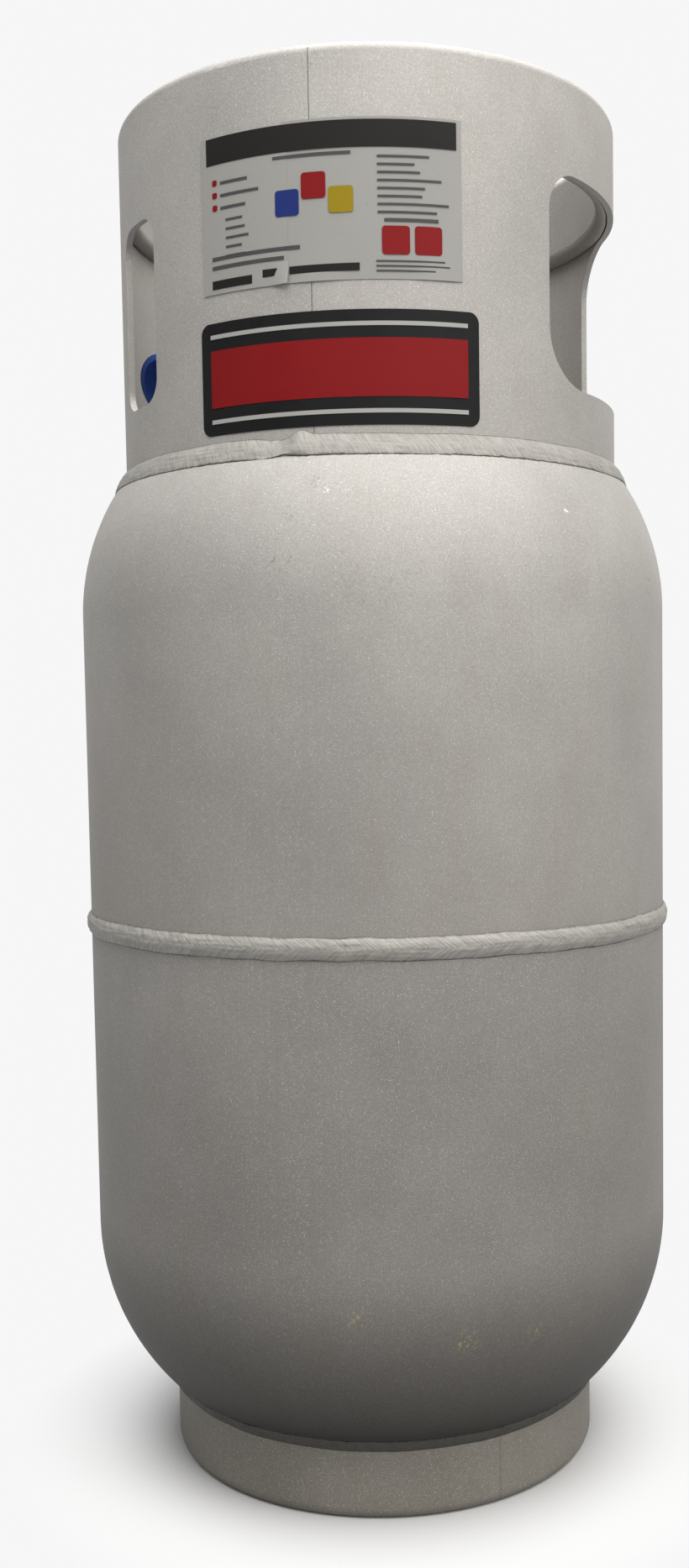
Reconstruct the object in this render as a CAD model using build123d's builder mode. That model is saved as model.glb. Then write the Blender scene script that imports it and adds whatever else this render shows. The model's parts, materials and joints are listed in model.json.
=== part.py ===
from build123d import *
import os
from math import atan2, cos, degrees, hypot, radians, sin, sqrt

os.makedirs("parts", exist_ok=True)

# ---------------------------------------------------------------- driving dimensions (mm)
# The tank stands on its foot ring. Origin: centre of the ring at the floor, +Z up.
# Bearings are measured from -Y towards +X; the carrying window faces +X.
TANK_R = 158.75
WALL = 6.0
HEAD_BOTTOM = 8.2
CROWN_TOP = 582.5
KNUCKLE_R = 122.4
GIRTH_Z = 296.0

COLLAR_R = 133.35
COLLAR_SHEET = 3.2
COLLAR_TOP = 715.0
HEM_R = 4.85
HEM_CURL_Z = 674.2
WINDOW = (56.2, 123.8, 565.0, 667.7)
SLOT = (-55.3, -38.0, 563.7, 655.0)
REAR_SLOT = (218.0, 235.3, 563.7, 655.0)
SEAM_BEARING = 3.4

FOOT_R = 117.5
FOOT_SHEET = 4.0
FOOT_ROLL_R = 6.0
FOOT_LIP_R = 104.0

SERVICE = (46.0, 0.0)
GAUGE = (-12.0, 0.0)
FILL = (-42.0, -54.0)
RELIEF = (-42.0, 54.0)
VENT = (16.0, -62.0)

BOSS_TOP = 592.0
ACME_R = 15.875
ACME_LENGTH = 20.0
OUTLET_Z = 625.0
RUNNING = 0.05

# ---------------------------------------------------------------- derived
KNUCKLE_X = TANK_R - KNUCKLE_R
LOWER_KNUCKLE_Z = HEAD_BOTTOM + KNUCKLE_R
UPPER_KNUCKLE_Z = CROWN_TOP - KNUCKLE_R
INNER_R = TANK_R - WALL
INNER_KNUCKLE_R = KNUCKLE_R - WALL
COLLAR_INNER_R = COLLAR_R - COLLAR_SHEET
FOOT_INNER_R = FOOT_R - FOOT_SHEET


def head_rise(radius, knuckle=KNUCKLE_R):
    """Height of the head above its knuckle centre at a radius."""
    return sqrt(knuckle**2 - max(radius - KNUCKLE_X, 0) ** 2)


def knuckle_point(angle, centre_z, knuckle, side):
    """Point on a head's knuckle arc, in the (radius, height) plane."""
    return (KNUCKLE_X + knuckle * cos(radians(angle)), centre_z + side * knuckle * sin(radians(angle)))


def bearing_vector(bearing):
    """Horizontal unit vector at a bearing."""
    return Vector(sin(radians(bearing)), -cos(radians(bearing)), 0)


def radial_plane(bearing, centre=(0, 0)):
    """Upright plane through a vertical axis: local X outward at the bearing, local Y up."""
    out = bearing_vector(bearing)
    return Plane(origin=(*centre, 0), x_dir=out, z_dir=out.cross(Vector(0, 0, 1)))


def turn(centre, outline, mode=Mode.ADD, start=90):
    """Revolve a (radius, height) outline about the vertical line through centre, from a bearing."""
    with BuildSketch(radial_plane(start, centre)) as profile:
        with BuildLine():
            Polyline(*outline, close=True)
        make_face()
    revolve(profile.sketch, axis=Axis((*centre, 0), (0, 0, 1)), mode=mode)


def bar(centre, radius, low, high, mode=Mode.ADD):
    """Upright round bar between two heights."""
    with Locations((*centre, low)):
        Cylinder(radius, high - low, align=(Align.CENTER, Align.CENTER, Align.MIN), mode=mode)


def hexagon(centre, flats, low, high):
    """Upright hexagonal bar between two heights."""
    with BuildSketch(Plane.XY.offset(low)) as profile:
        with Locations(centre):
            RegularPolygon(flats / 2, 6, major_radius=False)
    extrude(profile.sketch, amount=high - low)


def ring_of(centre, count, ring_r, hole_r, low, high, mode=Mode.SUBTRACT):
    """Upright round holes or bars, equally spaced on a circle."""
    with BuildSketch(Plane.XY.offset(low)) as holes:
        with Locations(centre):
            with PolarLocations(ring_r, count, start_angle=45):
                Circle(hole_r)
    extrude(holes.sketch, amount=high - low, mode=mode)


def disc(plane, radius, near, far, mode=Mode.ADD):
    """Round bar along a plane's normal, between two offsets."""
    with BuildSketch(plane.offset(near)) as profile:
        Circle(radius)
    extrude(profile.sketch, amount=far - near, mode=mode)


def coil(start, direction, radius, wire, length, turns):
    """Helical compression spring of round wire, its ends inside the given length."""
    axis = Vector(*direction)
    with BuildLine() as path:
        Helix(
            pitch=(length - wire) / turns,
            height=length - wire,
            radius=radius,
            center=Vector(*start) + axis * (wire / 2),
            direction=axis,
        )
    with BuildSketch(Plane(origin=path.line @ 0, z_dir=path.line % 0)) as section_face:
        Circle(wire / 2)
    sweep(section_face.sketch, path=path.line, is_frenet=True)


def save(piece, name):
    """Label a finished piece and write it."""
    piece.part.label = name
    export_step(piece.part, f"parts/{name}.step")


# ---------------------------------------------------------------- bosses: outer r, bore r, low, top
BOSSES = {
    "service_boss": (SERVICE, 22.0, 13.5, 568.0, BOSS_TOP),
    "fill_boss": (FILL, 22.0, 16.55, 558.0, BOSS_TOP),
    "relief_boss": (RELIEF, 22.4, 17.05, 558.0, BOSS_TOP),
    "vent_boss": (VENT, 12.0, 6.85, 562.0, 590.0),
    "gauge_adapter": (GAUGE, 28.0, 16.0, 570.0, 588.0),
}

# ---------------------------------------------------------------- pressure vessel
GROOVE_ROOT = 1.5
GROOVE_MOUTH = 4.0
BEAD_HALF = 5.65
BEAD_PROUD = 2.5
STRIP_HALF = 12.0
STRIP_THICK = 2.0


def shell(side, knuckle_z, crown_z):
    """Deep-drawn half shell: head, knuckle and half of the straight wall. side is +1 for the upper."""
    with BuildSketch(Plane.XZ) as profile:
        with BuildLine():
            Line((0, crown_z), (KNUCKLE_X, crown_z))
            ThreePointArc(
                (KNUCKLE_X, crown_z),
                knuckle_point(45, knuckle_z, KNUCKLE_R, side),
                (TANK_R, knuckle_z),
            )
            Polyline(
                (TANK_R, knuckle_z),
                (TANK_R, GIRTH_Z + side * GROOVE_MOUTH),
                (INNER_R, GIRTH_Z + side * GROOVE_ROOT),
                (INNER_R, knuckle_z),
            )
            ThreePointArc(
                (INNER_R, knuckle_z),
                knuckle_point(45, knuckle_z, INNER_KNUCKLE_R, side),
                (KNUCKLE_X, crown_z - side * WALL),
            )
            Polyline((KNUCKLE_X, crown_z - side * WALL), (0, crown_z - side * WALL), (0, crown_z))
        make_face()
    revolve(profile.sketch, axis=Axis.Z)


with BuildPart() as upper_shell:
    shell(1, UPPER_KNUCKLE_Z, CROWN_TOP)
    for centre, outer_r, bore_r, low, top in BOSSES.values():
        bar(centre, outer_r, low - 10, top + 10, mode=Mode.SUBTRACT)
save(upper_shell, "upper_shell")

with BuildPart() as lower_shell:
    shell(-1, LOWER_KNUCKLE_Z, HEAD_BOTTOM)
save(lower_shell, "lower_shell")

with BuildPart() as girth_weld:
    with BuildSketch(Plane.XZ):
        with BuildLine():
            Polyline(
                (TANK_R, GIRTH_Z + BEAD_HALF),
                (TANK_R, GIRTH_Z + GROOVE_MOUTH),
                (INNER_R, GIRTH_Z + GROOVE_ROOT),
                (INNER_R, GIRTH_Z - GROOVE_ROOT),
                (TANK_R, GIRTH_Z - GROOVE_MOUTH),
                (TANK_R, GIRTH_Z - BEAD_HALF),
            )
            ThreePointArc(
                (TANK_R, GIRTH_Z - BEAD_HALF),
                (TANK_R + BEAD_PROUD, GIRTH_Z),
                (TANK_R, GIRTH_Z + BEAD_HALF),
            )
        make_face()
    revolve(axis=Axis.Z)
save(girth_weld, "girth_weld")

with BuildPart() as backing_strip:
    turn((0, 0), [
        (INNER_R - STRIP_THICK, GIRTH_Z - STRIP_HALF),
        (INNER_R, GIRTH_Z - STRIP_HALF),
        (INNER_R, GIRTH_Z + STRIP_HALF),
        (INNER_R - STRIP_THICK, GIRTH_Z + STRIP_HALF),
    ])
save(backing_strip, "backing_strip")

# ---------------------------------------------------------------- collar
HEM_CENTRE_R = COLLAR_R - HEM_R
HEM_CENTRE_Z = COLLAR_TOP - HEM_R
HEM_INNER_R = HEM_R - COLLAR_SHEET
CURL_R = 5.85
CURL_CENTRE_R = HEM_CENTRE_R - HEM_R + CURL_R
CURL_IN_R = CURL_R - COLLAR_SHEET
SEAM_WIDTH = 0.5
SEAM_DEPTH = 0.6
LOCATING_SLOT = (32.0, 25.4)
LOCATING_Z = 556.0


def head_point(radius):
    """Point on the outside of the upper head."""
    return (radius, UPPER_KNUCKLE_Z + head_rise(radius))


def quarter(centre_r, centre_z, radius, angle):
    """Point on a circle in the (radius, height) plane."""
    return (centre_r + radius * cos(radians(angle)), centre_z + radius * sin(radians(angle)))


def window(bearings, low, high, radii):
    """Cut a window through the collar and round its corners: low-first, low-last, high-first, high-last."""
    with BuildSketch(radial_plane(bearings[0])) as profile:
        with Locations((COLLAR_R, (low + high) / 2)):
            Rectangle(2.8 * COLLAR_SHEET, high - low)
    revolve(profile.sketch, axis=Axis.Z, revolution_arc=bearings[1] - bearings[0], mode=Mode.SUBTRACT)
    corners = [(b, z) for z in (low, high) for b in bearings]
    for (corner_bearing, corner_z), corner_r in zip(corners, radii):
        middle = bearing_vector(corner_bearing) * (COLLAR_R - COLLAR_SHEET / 2) + Vector(0, 0, corner_z)
        edge = edges().sort_by_distance(middle)[0]
        fillet(edge, corner_r)


with BuildPart() as collar:
    with BuildSketch(Plane.XZ):
        with BuildLine():
            ThreePointArc(
                head_point(COLLAR_INNER_R),
                head_point(COLLAR_R - COLLAR_SHEET / 2),
                head_point(COLLAR_R),
            )
            Line(head_point(COLLAR_R), (COLLAR_R, HEM_CENTRE_Z))
            ThreePointArc(
                (COLLAR_R, HEM_CENTRE_Z),
                (HEM_CENTRE_R, COLLAR_TOP),
                (HEM_CENTRE_R - HEM_R, HEM_CENTRE_Z),
            )
            Line((HEM_CENTRE_R - HEM_R, HEM_CENTRE_Z), (HEM_CENTRE_R - HEM_R, HEM_CURL_Z))
            ThreePointArc(
                (HEM_CENTRE_R - HEM_R, HEM_CURL_Z),
                quarter(CURL_CENTRE_R, HEM_CURL_Z, CURL_R, 225),
                (CURL_CENTRE_R, HEM_CURL_Z - CURL_R),
            )
            Line((CURL_CENTRE_R, HEM_CURL_Z - CURL_R), (CURL_CENTRE_R, HEM_CURL_Z - CURL_IN_R))
            ThreePointArc(
                (CURL_CENTRE_R, HEM_CURL_Z - CURL_IN_R),
                quarter(CURL_CENTRE_R, HEM_CURL_Z, CURL_IN_R, 225),
                (CURL_CENTRE_R - CURL_IN_R, HEM_CURL_Z),
            )
            Line((CURL_CENTRE_R - CURL_IN_R, HEM_CURL_Z), (HEM_CENTRE_R - HEM_INNER_R, HEM_CENTRE_Z))
            ThreePointArc(
                (HEM_CENTRE_R - HEM_INNER_R, HEM_CENTRE_Z),
                (HEM_CENTRE_R, HEM_CENTRE_Z + HEM_INNER_R),
                (COLLAR_INNER_R, HEM_CENTRE_Z),
            )
            Line((COLLAR_INNER_R, HEM_CENTRE_Z), head_point(COLLAR_INNER_R))
        make_face()
    revolve(axis=Axis.Z)
    window(WINDOW[:2], WINDOW[2], WINDOW[3], (28, 28, 20, 27))
    window(SLOT[:2], SLOT[2], SLOT[3], (12, 12, 12, 12))
    window(REAR_SLOT[:2], REAR_SLOT[2], REAR_SLOT[3], (12, 12, 12, 12))
    with BuildSketch(Plane.YZ.offset(-COLLAR_R - 10)):
        with Locations((0, LOCATING_Z)):
            SlotOverall(*LOCATING_SLOT, rotation=90)
    extrude(amount=20, mode=Mode.SUBTRACT)
    with BuildSketch(radial_plane(SEAM_BEARING)):
        with Locations((COLLAR_R - SEAM_DEPTH, LOCATING_Z)):
            Rectangle(2 * SEAM_DEPTH, 2 * COLLAR_TOP, align=(Align.MIN, Align.CENTER))
    extrude(amount=SEAM_WIDTH / 2, both=True, mode=Mode.SUBTRACT)
save(collar, "collar")


def fillet_bead(sheet_r, toe_z, shoulder_r, knuckle_z, side, bulge):
    """Fillet weld between a sheet ring's outer face and a head, its face slightly convex."""
    root = (sheet_r, knuckle_z + side * head_rise(sheet_r))
    middle_r = (sheet_r + shoulder_r) / 2
    middle = (middle_r, knuckle_z + side * head_rise(middle_r))
    shoulder = (shoulder_r, knuckle_z + side * head_rise(shoulder_r))
    toe = (sheet_r, toe_z)
    crest = ((sheet_r + shoulder_r) / 2 + bulge, (toe_z + shoulder[1]) / 2 + side * bulge)
    with BuildSketch(Plane.XZ) as profile:
        with BuildLine():
            Line(toe, root)
            ThreePointArc(root, middle, shoulder)
            ThreePointArc(shoulder, crest, toe)
        make_face()
    revolve(profile.sketch, axis=Axis.Z)


with BuildPart() as collar_weld:
    fillet_bead(COLLAR_R, 538.0, 139.5, UPPER_KNUCKLE_Z, 1, 0.7)
    add(collar.part, mode=Mode.SUBTRACT)
save(collar_weld, "collar_weld")

# ---------------------------------------------------------------- foot ring
ROLL_CENTRE_R = FOOT_R - FOOT_ROLL_R
ROLL_IN_R = FOOT_ROLL_R - FOOT_SHEET


def foot_top(radius):
    """Point where the foot ring meets the lower head."""
    return (radius, LOWER_KNUCKLE_Z - head_rise(radius))


with BuildPart() as foot_ring:
    with BuildSketch(Plane.XZ):
        with BuildLine():
            ThreePointArc(foot_top(FOOT_INNER_R), foot_top(FOOT_R - FOOT_SHEET / 2), foot_top(FOOT_R))
            Line(foot_top(FOOT_R), (FOOT_R, FOOT_ROLL_R))
            ThreePointArc(
                (FOOT_R, FOOT_ROLL_R),
                quarter(ROLL_CENTRE_R, FOOT_ROLL_R, FOOT_ROLL_R, -45),
                (ROLL_CENTRE_R, 0),
            )
            Polyline(
                (ROLL_CENTRE_R, 0),
                (FOOT_LIP_R, 0),
                (FOOT_LIP_R, FOOT_SHEET),
                (ROLL_CENTRE_R, FOOT_SHEET),
            )
            ThreePointArc(
                (ROLL_CENTRE_R, FOOT_SHEET),
                quarter(ROLL_CENTRE_R, FOOT_ROLL_R, ROLL_IN_R, -45),
                (FOOT_INNER_R, FOOT_ROLL_R),
            )
            Line((FOOT_INNER_R, FOOT_ROLL_R), foot_top(FOOT_INNER_R))
        make_face()
    revolve(axis=Axis.Z)
save(foot_ring, "foot_ring")

with BuildPart() as foot_weld:
    fillet_bead(FOOT_R, 35.8, 122.0, LOWER_KNUCKLE_Z, -1, 0.5)
save(foot_weld, "foot_weld")

# ---------------------------------------------------------------- bosses and their welds
BOSS_BEAD = 5.0

for boss_name, (centre, outer_r, bore_r, low, top) in BOSSES.items():
    with BuildPart() as boss:
        turn(centre, [
            (bore_r, low),
            (outer_r, low),
            (outer_r, top - 1),
            (outer_r - 1, top),
            (bore_r + 0.6, top),
            (bore_r, top - 0.6),
        ])
        if boss_name == "gauge_adapter":
            ring_of(centre, 4, 22, 2.5, 576, top)
    save(boss, boss_name)

with BuildPart() as head_form:
    with BuildSketch(Plane.XZ):
        with BuildLine():
            Line((0, CROWN_TOP), (KNUCKLE_X, CROWN_TOP))
            ThreePointArc(
                (KNUCKLE_X, CROWN_TOP),
                knuckle_point(45, UPPER_KNUCKLE_Z, KNUCKLE_R, 1),
                (TANK_R, UPPER_KNUCKLE_Z),
            )
            Polyline((TANK_R, UPPER_KNUCKLE_Z), (0, UPPER_KNUCKLE_Z), (0, CROWN_TOP))
        make_face()
    revolve(axis=Axis.Z)

with BuildPart() as boss_welds:
    for centre, outer_r, bore_r, low, top in BOSSES.values():
        offset_r = hypot(*centre)
        toe_z = UPPER_KNUCKLE_Z + head_rise(offset_r) + BOSS_BEAD - 1
        floor_z = UPPER_KNUCKLE_Z + head_rise(offset_r + outer_r + BOSS_BEAD)
        toe_z = min(toe_z, top - 2)
        turn(centre, [
            (outer_r, toe_z),
            (outer_r, floor_z - 4),
            (outer_r + BOSS_BEAD, floor_z - 4),
            (outer_r + BOSS_BEAD, floor_z + 1),
        ], start=degrees(atan2(centre[0], -centre[1])))
    add(head_form.part, mode=Mode.SUBTRACT)
save(boss_welds, "boss_welds")

# ---------------------------------------------------------------- service valve
OUTLET = Plane(origin=(SERVICE[0], SERVICE[1], OUTLET_Z), x_dir=(0, 1, 0), z_dir=(1, 0, 0))
SEAT_Z = 612.0
CHAMBER_R = 9.0
STEM_R = 4.0
BONNET_LOW = 636.0
BONNET_TOP = 661.0
BONNET_FLATS = 24.0
PLUG_LOW = 566.0
PLUG_R = 13.45
HEX_TOP = 606.0
BODY_R = 17.0
BODY_TOP = 648.0
PORT_R = 6.0
ARM_R = 14.0
ARM_REACH = 25.0
SPIGOT_R = 9.0
SPIGOT_START = 16.0
GLAND_R = 6.0
GLAND_LOW = 652.0
SEAL_HEIGHT = 1.9
STEM_SQUARE = 5.6
STEM_LOW = 632.0
WHEEL_LOW = 664.0
WHEEL_TOP = 676.0
WHEEL_R = 24.0
TANG_LOW = 628.5

with BuildPart() as service_valve_body:
    turn(SERVICE, [
        (0, PLUG_LOW),
        (PLUG_R - 0.55, PLUG_LOW),
        (PLUG_R, PLUG_LOW + 2),
        (PLUG_R, BOSS_TOP),
        (0, BOSS_TOP),
    ])
    hexagon(SERVICE, 2 * BODY_R, BOSS_TOP, HEX_TOP)
    turn(SERVICE, [
        (0, HEX_TOP),
        (BODY_R, HEX_TOP),
        (BODY_R, BODY_TOP - 2),
        (BODY_R - 1.5, BODY_TOP),
        (0, BODY_TOP),
    ])
    disc(OUTLET, ARM_R, 0, ARM_REACH)
    bar(SERVICE, PORT_R, PLUG_LOW, SEAT_Z, mode=Mode.SUBTRACT)
    bar(SERVICE, CHAMBER_R, SEAT_Z, BODY_TOP, mode=Mode.SUBTRACT)
    disc(OUTLET, PORT_R, 0, SPIGOT_START, mode=Mode.SUBTRACT)
    disc(OUTLET, SPIGOT_R, SPIGOT_START - 1, ARM_REACH, mode=Mode.SUBTRACT)
save(service_valve_body, "service_valve_body")

with BuildPart() as bonnet:
    turn(SERVICE, [
        (STEM_R + RUNNING, BONNET_LOW),
        (CHAMBER_R, BONNET_LOW),
        (CHAMBER_R, BODY_TOP),
        (STEM_R + RUNNING, BODY_TOP),
    ])
    hexagon(SERVICE, BONNET_FLATS, BODY_TOP, BONNET_TOP - 3)
    turn(SERVICE, [(0, BONNET_TOP - 3), (11, BONNET_TOP - 3), (10, BONNET_TOP), (0, BONNET_TOP)])
    bar(SERVICE, STEM_R + RUNNING, BONNET_LOW, BONNET_TOP, mode=Mode.SUBTRACT)
    bar(SERVICE, GLAND_R, GLAND_LOW, GLAND_LOW + 5, mode=Mode.SUBTRACT)
save(bonnet, "service_bonnet")

with BuildPart() as stem_seals:
    for low in (GLAND_LOW + 0.3, GLAND_LOW + 2.7):
        turn(SERVICE, [
            (STEM_R + 0.1, low),
            (GLAND_R - RUNNING, low),
            (GLAND_R - RUNNING, low + SEAL_HEIGHT),
            (STEM_R + 0.1, low + SEAL_HEIGHT),
        ])
save(stem_seals, "stem_seals")

with BuildPart() as upper_stem:
    turn(SERVICE, [
        (0, STEM_LOW),
        (6.5, STEM_LOW),
        (6.5, BONNET_LOW - 0.2),
        (STEM_R, BONNET_LOW - 0.2),
        (STEM_R, WHEEL_LOW),
        (0, WHEEL_LOW),
    ])
    with Locations((*SERVICE, TANG_LOW)):
        Box(6, 2.4, 7)
    with BuildSketch(Plane.XY.offset(WHEEL_LOW)):
        with Locations(SERVICE):
            Rectangle(STEM_SQUARE, STEM_SQUARE)
    extrude(amount=WHEEL_TOP - WHEEL_LOW)
save(upper_stem, "upper_stem")

with BuildPart() as lower_stem:
    turn(SERVICE, [(0, 615), (7.5, 615), (CHAMBER_R - RUNNING, 618), (CHAMBER_R - RUNNING, 628), (0, 628)])
    with Locations((*SERVICE, 624.3)):
        Box(6.3, 2.6, 8.4, mode=Mode.SUBTRACT)
save(lower_stem, "lower_stem")

with BuildPart() as seat_disc:
    turn(SERVICE, [(0, SEAT_Z + 0.05), (7.8, SEAT_Z + 0.05), (7.2, 615), (0, 615)])
save(seat_disc, "seat_disc")

with BuildPart() as handwheel:
    turn(SERVICE, [
        (0, WHEEL_LOW),
        (9, WHEEL_LOW),
        (10, 668),
        (18, 669),
        (20, 665),
        (WHEEL_R - 1, 665),
        (WHEEL_R, 667),
        (WHEEL_R, 675),
        (WHEEL_R - 1.5, WHEEL_TOP),
        (19, WHEEL_TOP),
        (17, 673),
        (9, 673),
        (8, WHEEL_TOP),
        (0, WHEEL_TOP),
    ])
    ring_of(SERVICE, 8, WHEEL_R + 4, 6, WHEEL_LOW, WHEEL_TOP)
    with BuildSketch(Plane.XY.offset(WHEEL_LOW)):
        with Locations(SERVICE):
            Rectangle(STEM_SQUARE, STEM_SQUARE)
    extrude(amount=WHEEL_TOP - WHEEL_LOW, mode=Mode.SUBTRACT)
save(handwheel, "handwheel")

with BuildPart() as handwheel_screw:
    turn(SERVICE, [(0, WHEEL_TOP), (6, WHEEL_TOP), (6, 677.5), (4.5, 680), (0, 680)])
    with Locations((*SERVICE, 680)):
        Box(10, 1.2, 2.4, mode=Mode.SUBTRACT)
save(handwheel_screw, "handwheel_screw")

# outlet: male coupling with its spring-loaded poppet, along +X; offsets are from the valve's axis
NUT_FACE = 32.0
COUPLING_END = NUT_FACE + ACME_LENGTH
CHECK_BORE_R = 7.0
CHECK_SEAT = 39.0
CHECK_PORT_R = 4.5
MOUTH_R = 10.0
MOUTH_FLOOR = 42.0
GUIDE_FACE = 19.0
GUIDE_THICK = 2.0
GUIDE_STEM_R = 2.0

with BuildPart() as outlet_coupling:
    disc(OUTLET, SPIGOT_R, SPIGOT_START, ARM_REACH)
    with BuildSketch(OUTLET.offset(ARM_REACH)):
        RegularPolygon(BODY_R, 6, major_radius=False)
    extrude(amount=NUT_FACE - ARM_REACH)
    disc(OUTLET, ACME_R, NUT_FACE, COUPLING_END)
    disc(OUTLET, CHECK_BORE_R, SPIGOT_START, CHECK_SEAT, mode=Mode.SUBTRACT)
    disc(OUTLET, CHECK_PORT_R, CHECK_SEAT, MOUTH_FLOOR + 1, mode=Mode.SUBTRACT)
    disc(OUTLET, MOUTH_R, MOUTH_FLOOR, COUPLING_END, mode=Mode.SUBTRACT)
save(outlet_coupling, "outlet_coupling")

with BuildPart() as poppet_guide:
    disc(OUTLET, CHECK_BORE_R, GUIDE_FACE, GUIDE_FACE + GUIDE_THICK)
    disc(OUTLET, GUIDE_STEM_R + RUNNING, GUIDE_FACE, GUIDE_FACE + GUIDE_THICK, mode=Mode.SUBTRACT)
    with BuildSketch(OUTLET.offset(GUIDE_FACE)):
        with PolarLocations(4.6, 4):
            Circle(1.3)
    extrude(amount=GUIDE_THICK, mode=Mode.SUBTRACT)
save(poppet_guide, "poppet_guide")

with BuildPart() as outlet_poppet:
    disc(OUTLET, GUIDE_STEM_R, 22, 36)
    disc(OUTLET, CHECK_BORE_R - 0.5, 36, CHECK_SEAT - 0.1)
    disc(OUTLET, 3, CHECK_SEAT - 0.1, 45)
    fillet(faces().sort_by(Axis.X)[-1].edges(), 1.2)
save(outlet_poppet, "outlet_poppet")

with BuildPart() as poppet_spring:
    coil((SERVICE[0] + 21, SERVICE[1], OUTLET_Z), (1, 0, 0), 4.6, 0.9, 14.9, 6)
save(poppet_spring, "poppet_spring")

with BuildPart() as outlet_seal:
    disc(OUTLET, MOUTH_R - 0.1, MOUTH_FLOOR + RUNNING, 44.5)
    disc(OUTLET, CHECK_BORE_R, MOUTH_FLOOR + RUNNING, 44.5, mode=Mode.SUBTRACT)
save(outlet_seal, "outlet_seal")

# liquid tube: from the service valve down and across towards the low side of a lying tank
TUBE_R = 4.75
TUBE_BORE_R = 3.5
DIP_ROUTE = [(46, 0, 566), (46, 0, 526), (14, 44, 470), (-108, 44, 424)]

with BuildPart() as liquid_tube:
    with BuildLine() as dip_path:
        FilletPolyline(*DIP_ROUTE, radius=28)
    with BuildSketch(Plane(origin=dip_path.line @ 0, z_dir=dip_path.line % 0)):
        Circle(TUBE_R)
        Circle(TUBE_BORE_R, mode=Mode.SUBTRACT)
    sweep()
save(liquid_tube, "liquid_tube")

# ---------------------------------------------------------------- fill valve
FILL_LOW = 544.0
FILL_PLUG_R = 16.5
FILL_HEX_TOP = 603.0
FILL_NECK_R = 14.5
FILL_THREAD_LOW = 609.0
FILL_TOP = 640.0
FILL_BORE_R = 11.0
FILL_SEAT_R = 7.0
SEAT_THICK = 4.0
BACK_SEAT_Z = 572.0
WEB_LOW = 588.0
WEB_THICK = 4.0
FILL_SEAT_Z = 618.0
FILL_STEM_R = 2.5
VALVE_HEAD_R = 9.5

with BuildPart() as fill_valve_body:
    bar(FILL, FILL_PLUG_R, FILL_LOW, BOSS_TOP)
    hexagon(FILL, 38, BOSS_TOP, FILL_HEX_TOP)
    turn(FILL, [
        (0, FILL_HEX_TOP),
        (FILL_NECK_R, FILL_HEX_TOP),
        (FILL_NECK_R, FILL_THREAD_LOW - 1),
        (ACME_R, FILL_THREAD_LOW),
        (ACME_R, FILL_TOP - 1),
        (15, FILL_TOP),
        (0, FILL_TOP),
    ])
    bar(FILL, FILL_BORE_R, FILL_LOW, BACK_SEAT_Z, mode=Mode.SUBTRACT)
    bar(FILL, FILL_SEAT_R, BACK_SEAT_Z, BACK_SEAT_Z + SEAT_THICK, mode=Mode.SUBTRACT)
    bar(FILL, FILL_BORE_R, BACK_SEAT_Z + SEAT_THICK, WEB_LOW, mode=Mode.SUBTRACT)
    bar(FILL, FILL_STEM_R + RUNNING, WEB_LOW, WEB_LOW + WEB_THICK, mode=Mode.SUBTRACT)
    ring_of(FILL, 4, 7, 2.6, WEB_LOW, WEB_LOW + WEB_THICK)
    bar(FILL, FILL_BORE_R, WEB_LOW + WEB_THICK, FILL_SEAT_Z, mode=Mode.SUBTRACT)
    bar(FILL, FILL_SEAT_R, FILL_SEAT_Z, FILL_SEAT_Z + SEAT_THICK, mode=Mode.SUBTRACT)
    bar(FILL, FILL_BORE_R, FILL_SEAT_Z + SEAT_THICK, FILL_TOP, mode=Mode.SUBTRACT)
save(fill_valve_body, "fill_valve_body")

with BuildPart() as fill_check:
    turn(FILL, [
        (0, 596),
        (FILL_STEM_R, 596),
        (FILL_STEM_R, FILL_SEAT_Z - 4),
        (VALVE_HEAD_R, FILL_SEAT_Z - 4),
        (VALVE_HEAD_R, FILL_SEAT_Z - 0.1),
        (3, FILL_SEAT_Z - 0.1),
        (3, 627),
        (0, 628),
    ])
save(fill_check, "fill_check")

with BuildPart() as fill_check_spring:
    coil((*FILL, 592), (0, 0, 1), 5, 1.2, 22, 6)
save(fill_check_spring, "fill_check_spring")

with BuildPart() as back_check:
    turn(FILL, [
        (0, 553),
        (FILL_STEM_R, 553),
        (FILL_STEM_R, BACK_SEAT_Z - 4),
        (VALVE_HEAD_R, BACK_SEAT_Z - 4),
        (VALVE_HEAD_R, BACK_SEAT_Z - 0.1),
        (0, BACK_SEAT_Z - 0.1),
    ])
save(back_check, "back_check")

with BuildPart() as back_check_spring:
    coil((*FILL, 550), (0, 0, 1), 5, 1.0, 18, 5)
save(back_check_spring, "back_check_spring")

with BuildPart() as back_check_guide:
    bar(FILL, FILL_BORE_R, 546, 550)
    bar(FILL, FILL_STEM_R + RUNNING, 546, 550, mode=Mode.SUBTRACT)
    ring_of(FILL, 4, 7, 2.6, 546, 550)
save(back_check_guide, "back_check_guide")

with BuildPart() as fill_gasket:
    turn(FILL, [
        (FILL_SEAT_R + 0.5, FILL_SEAT_Z + SEAT_THICK),
        (FILL_BORE_R, FILL_SEAT_Z + SEAT_THICK),
        (FILL_BORE_R, FILL_SEAT_Z + SEAT_THICK + 2.5),
        (FILL_SEAT_R + 0.5, FILL_SEAT_Z + SEAT_THICK + 2.5),
    ])
save(fill_gasket, "fill_gasket")

# dust cap, off its valve and hanging by its moulded strap
CAP_R = 19.0
CAP_BORE_R = ACME_R + 0.35
CAP_DEPTH = 14.0
CAP_BEARING = -59.3
CAP_REACH = 111.3
CAP_Z = 580.1
MOUTH_BEARING = -24.9
MOUTH_TILT = -28.0
STRAP_WIDTH = 8.0
STRAP_THICK = 1.6
STRAP_Z = 603.8
STRAP_OUTER_R = 18.5

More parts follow.
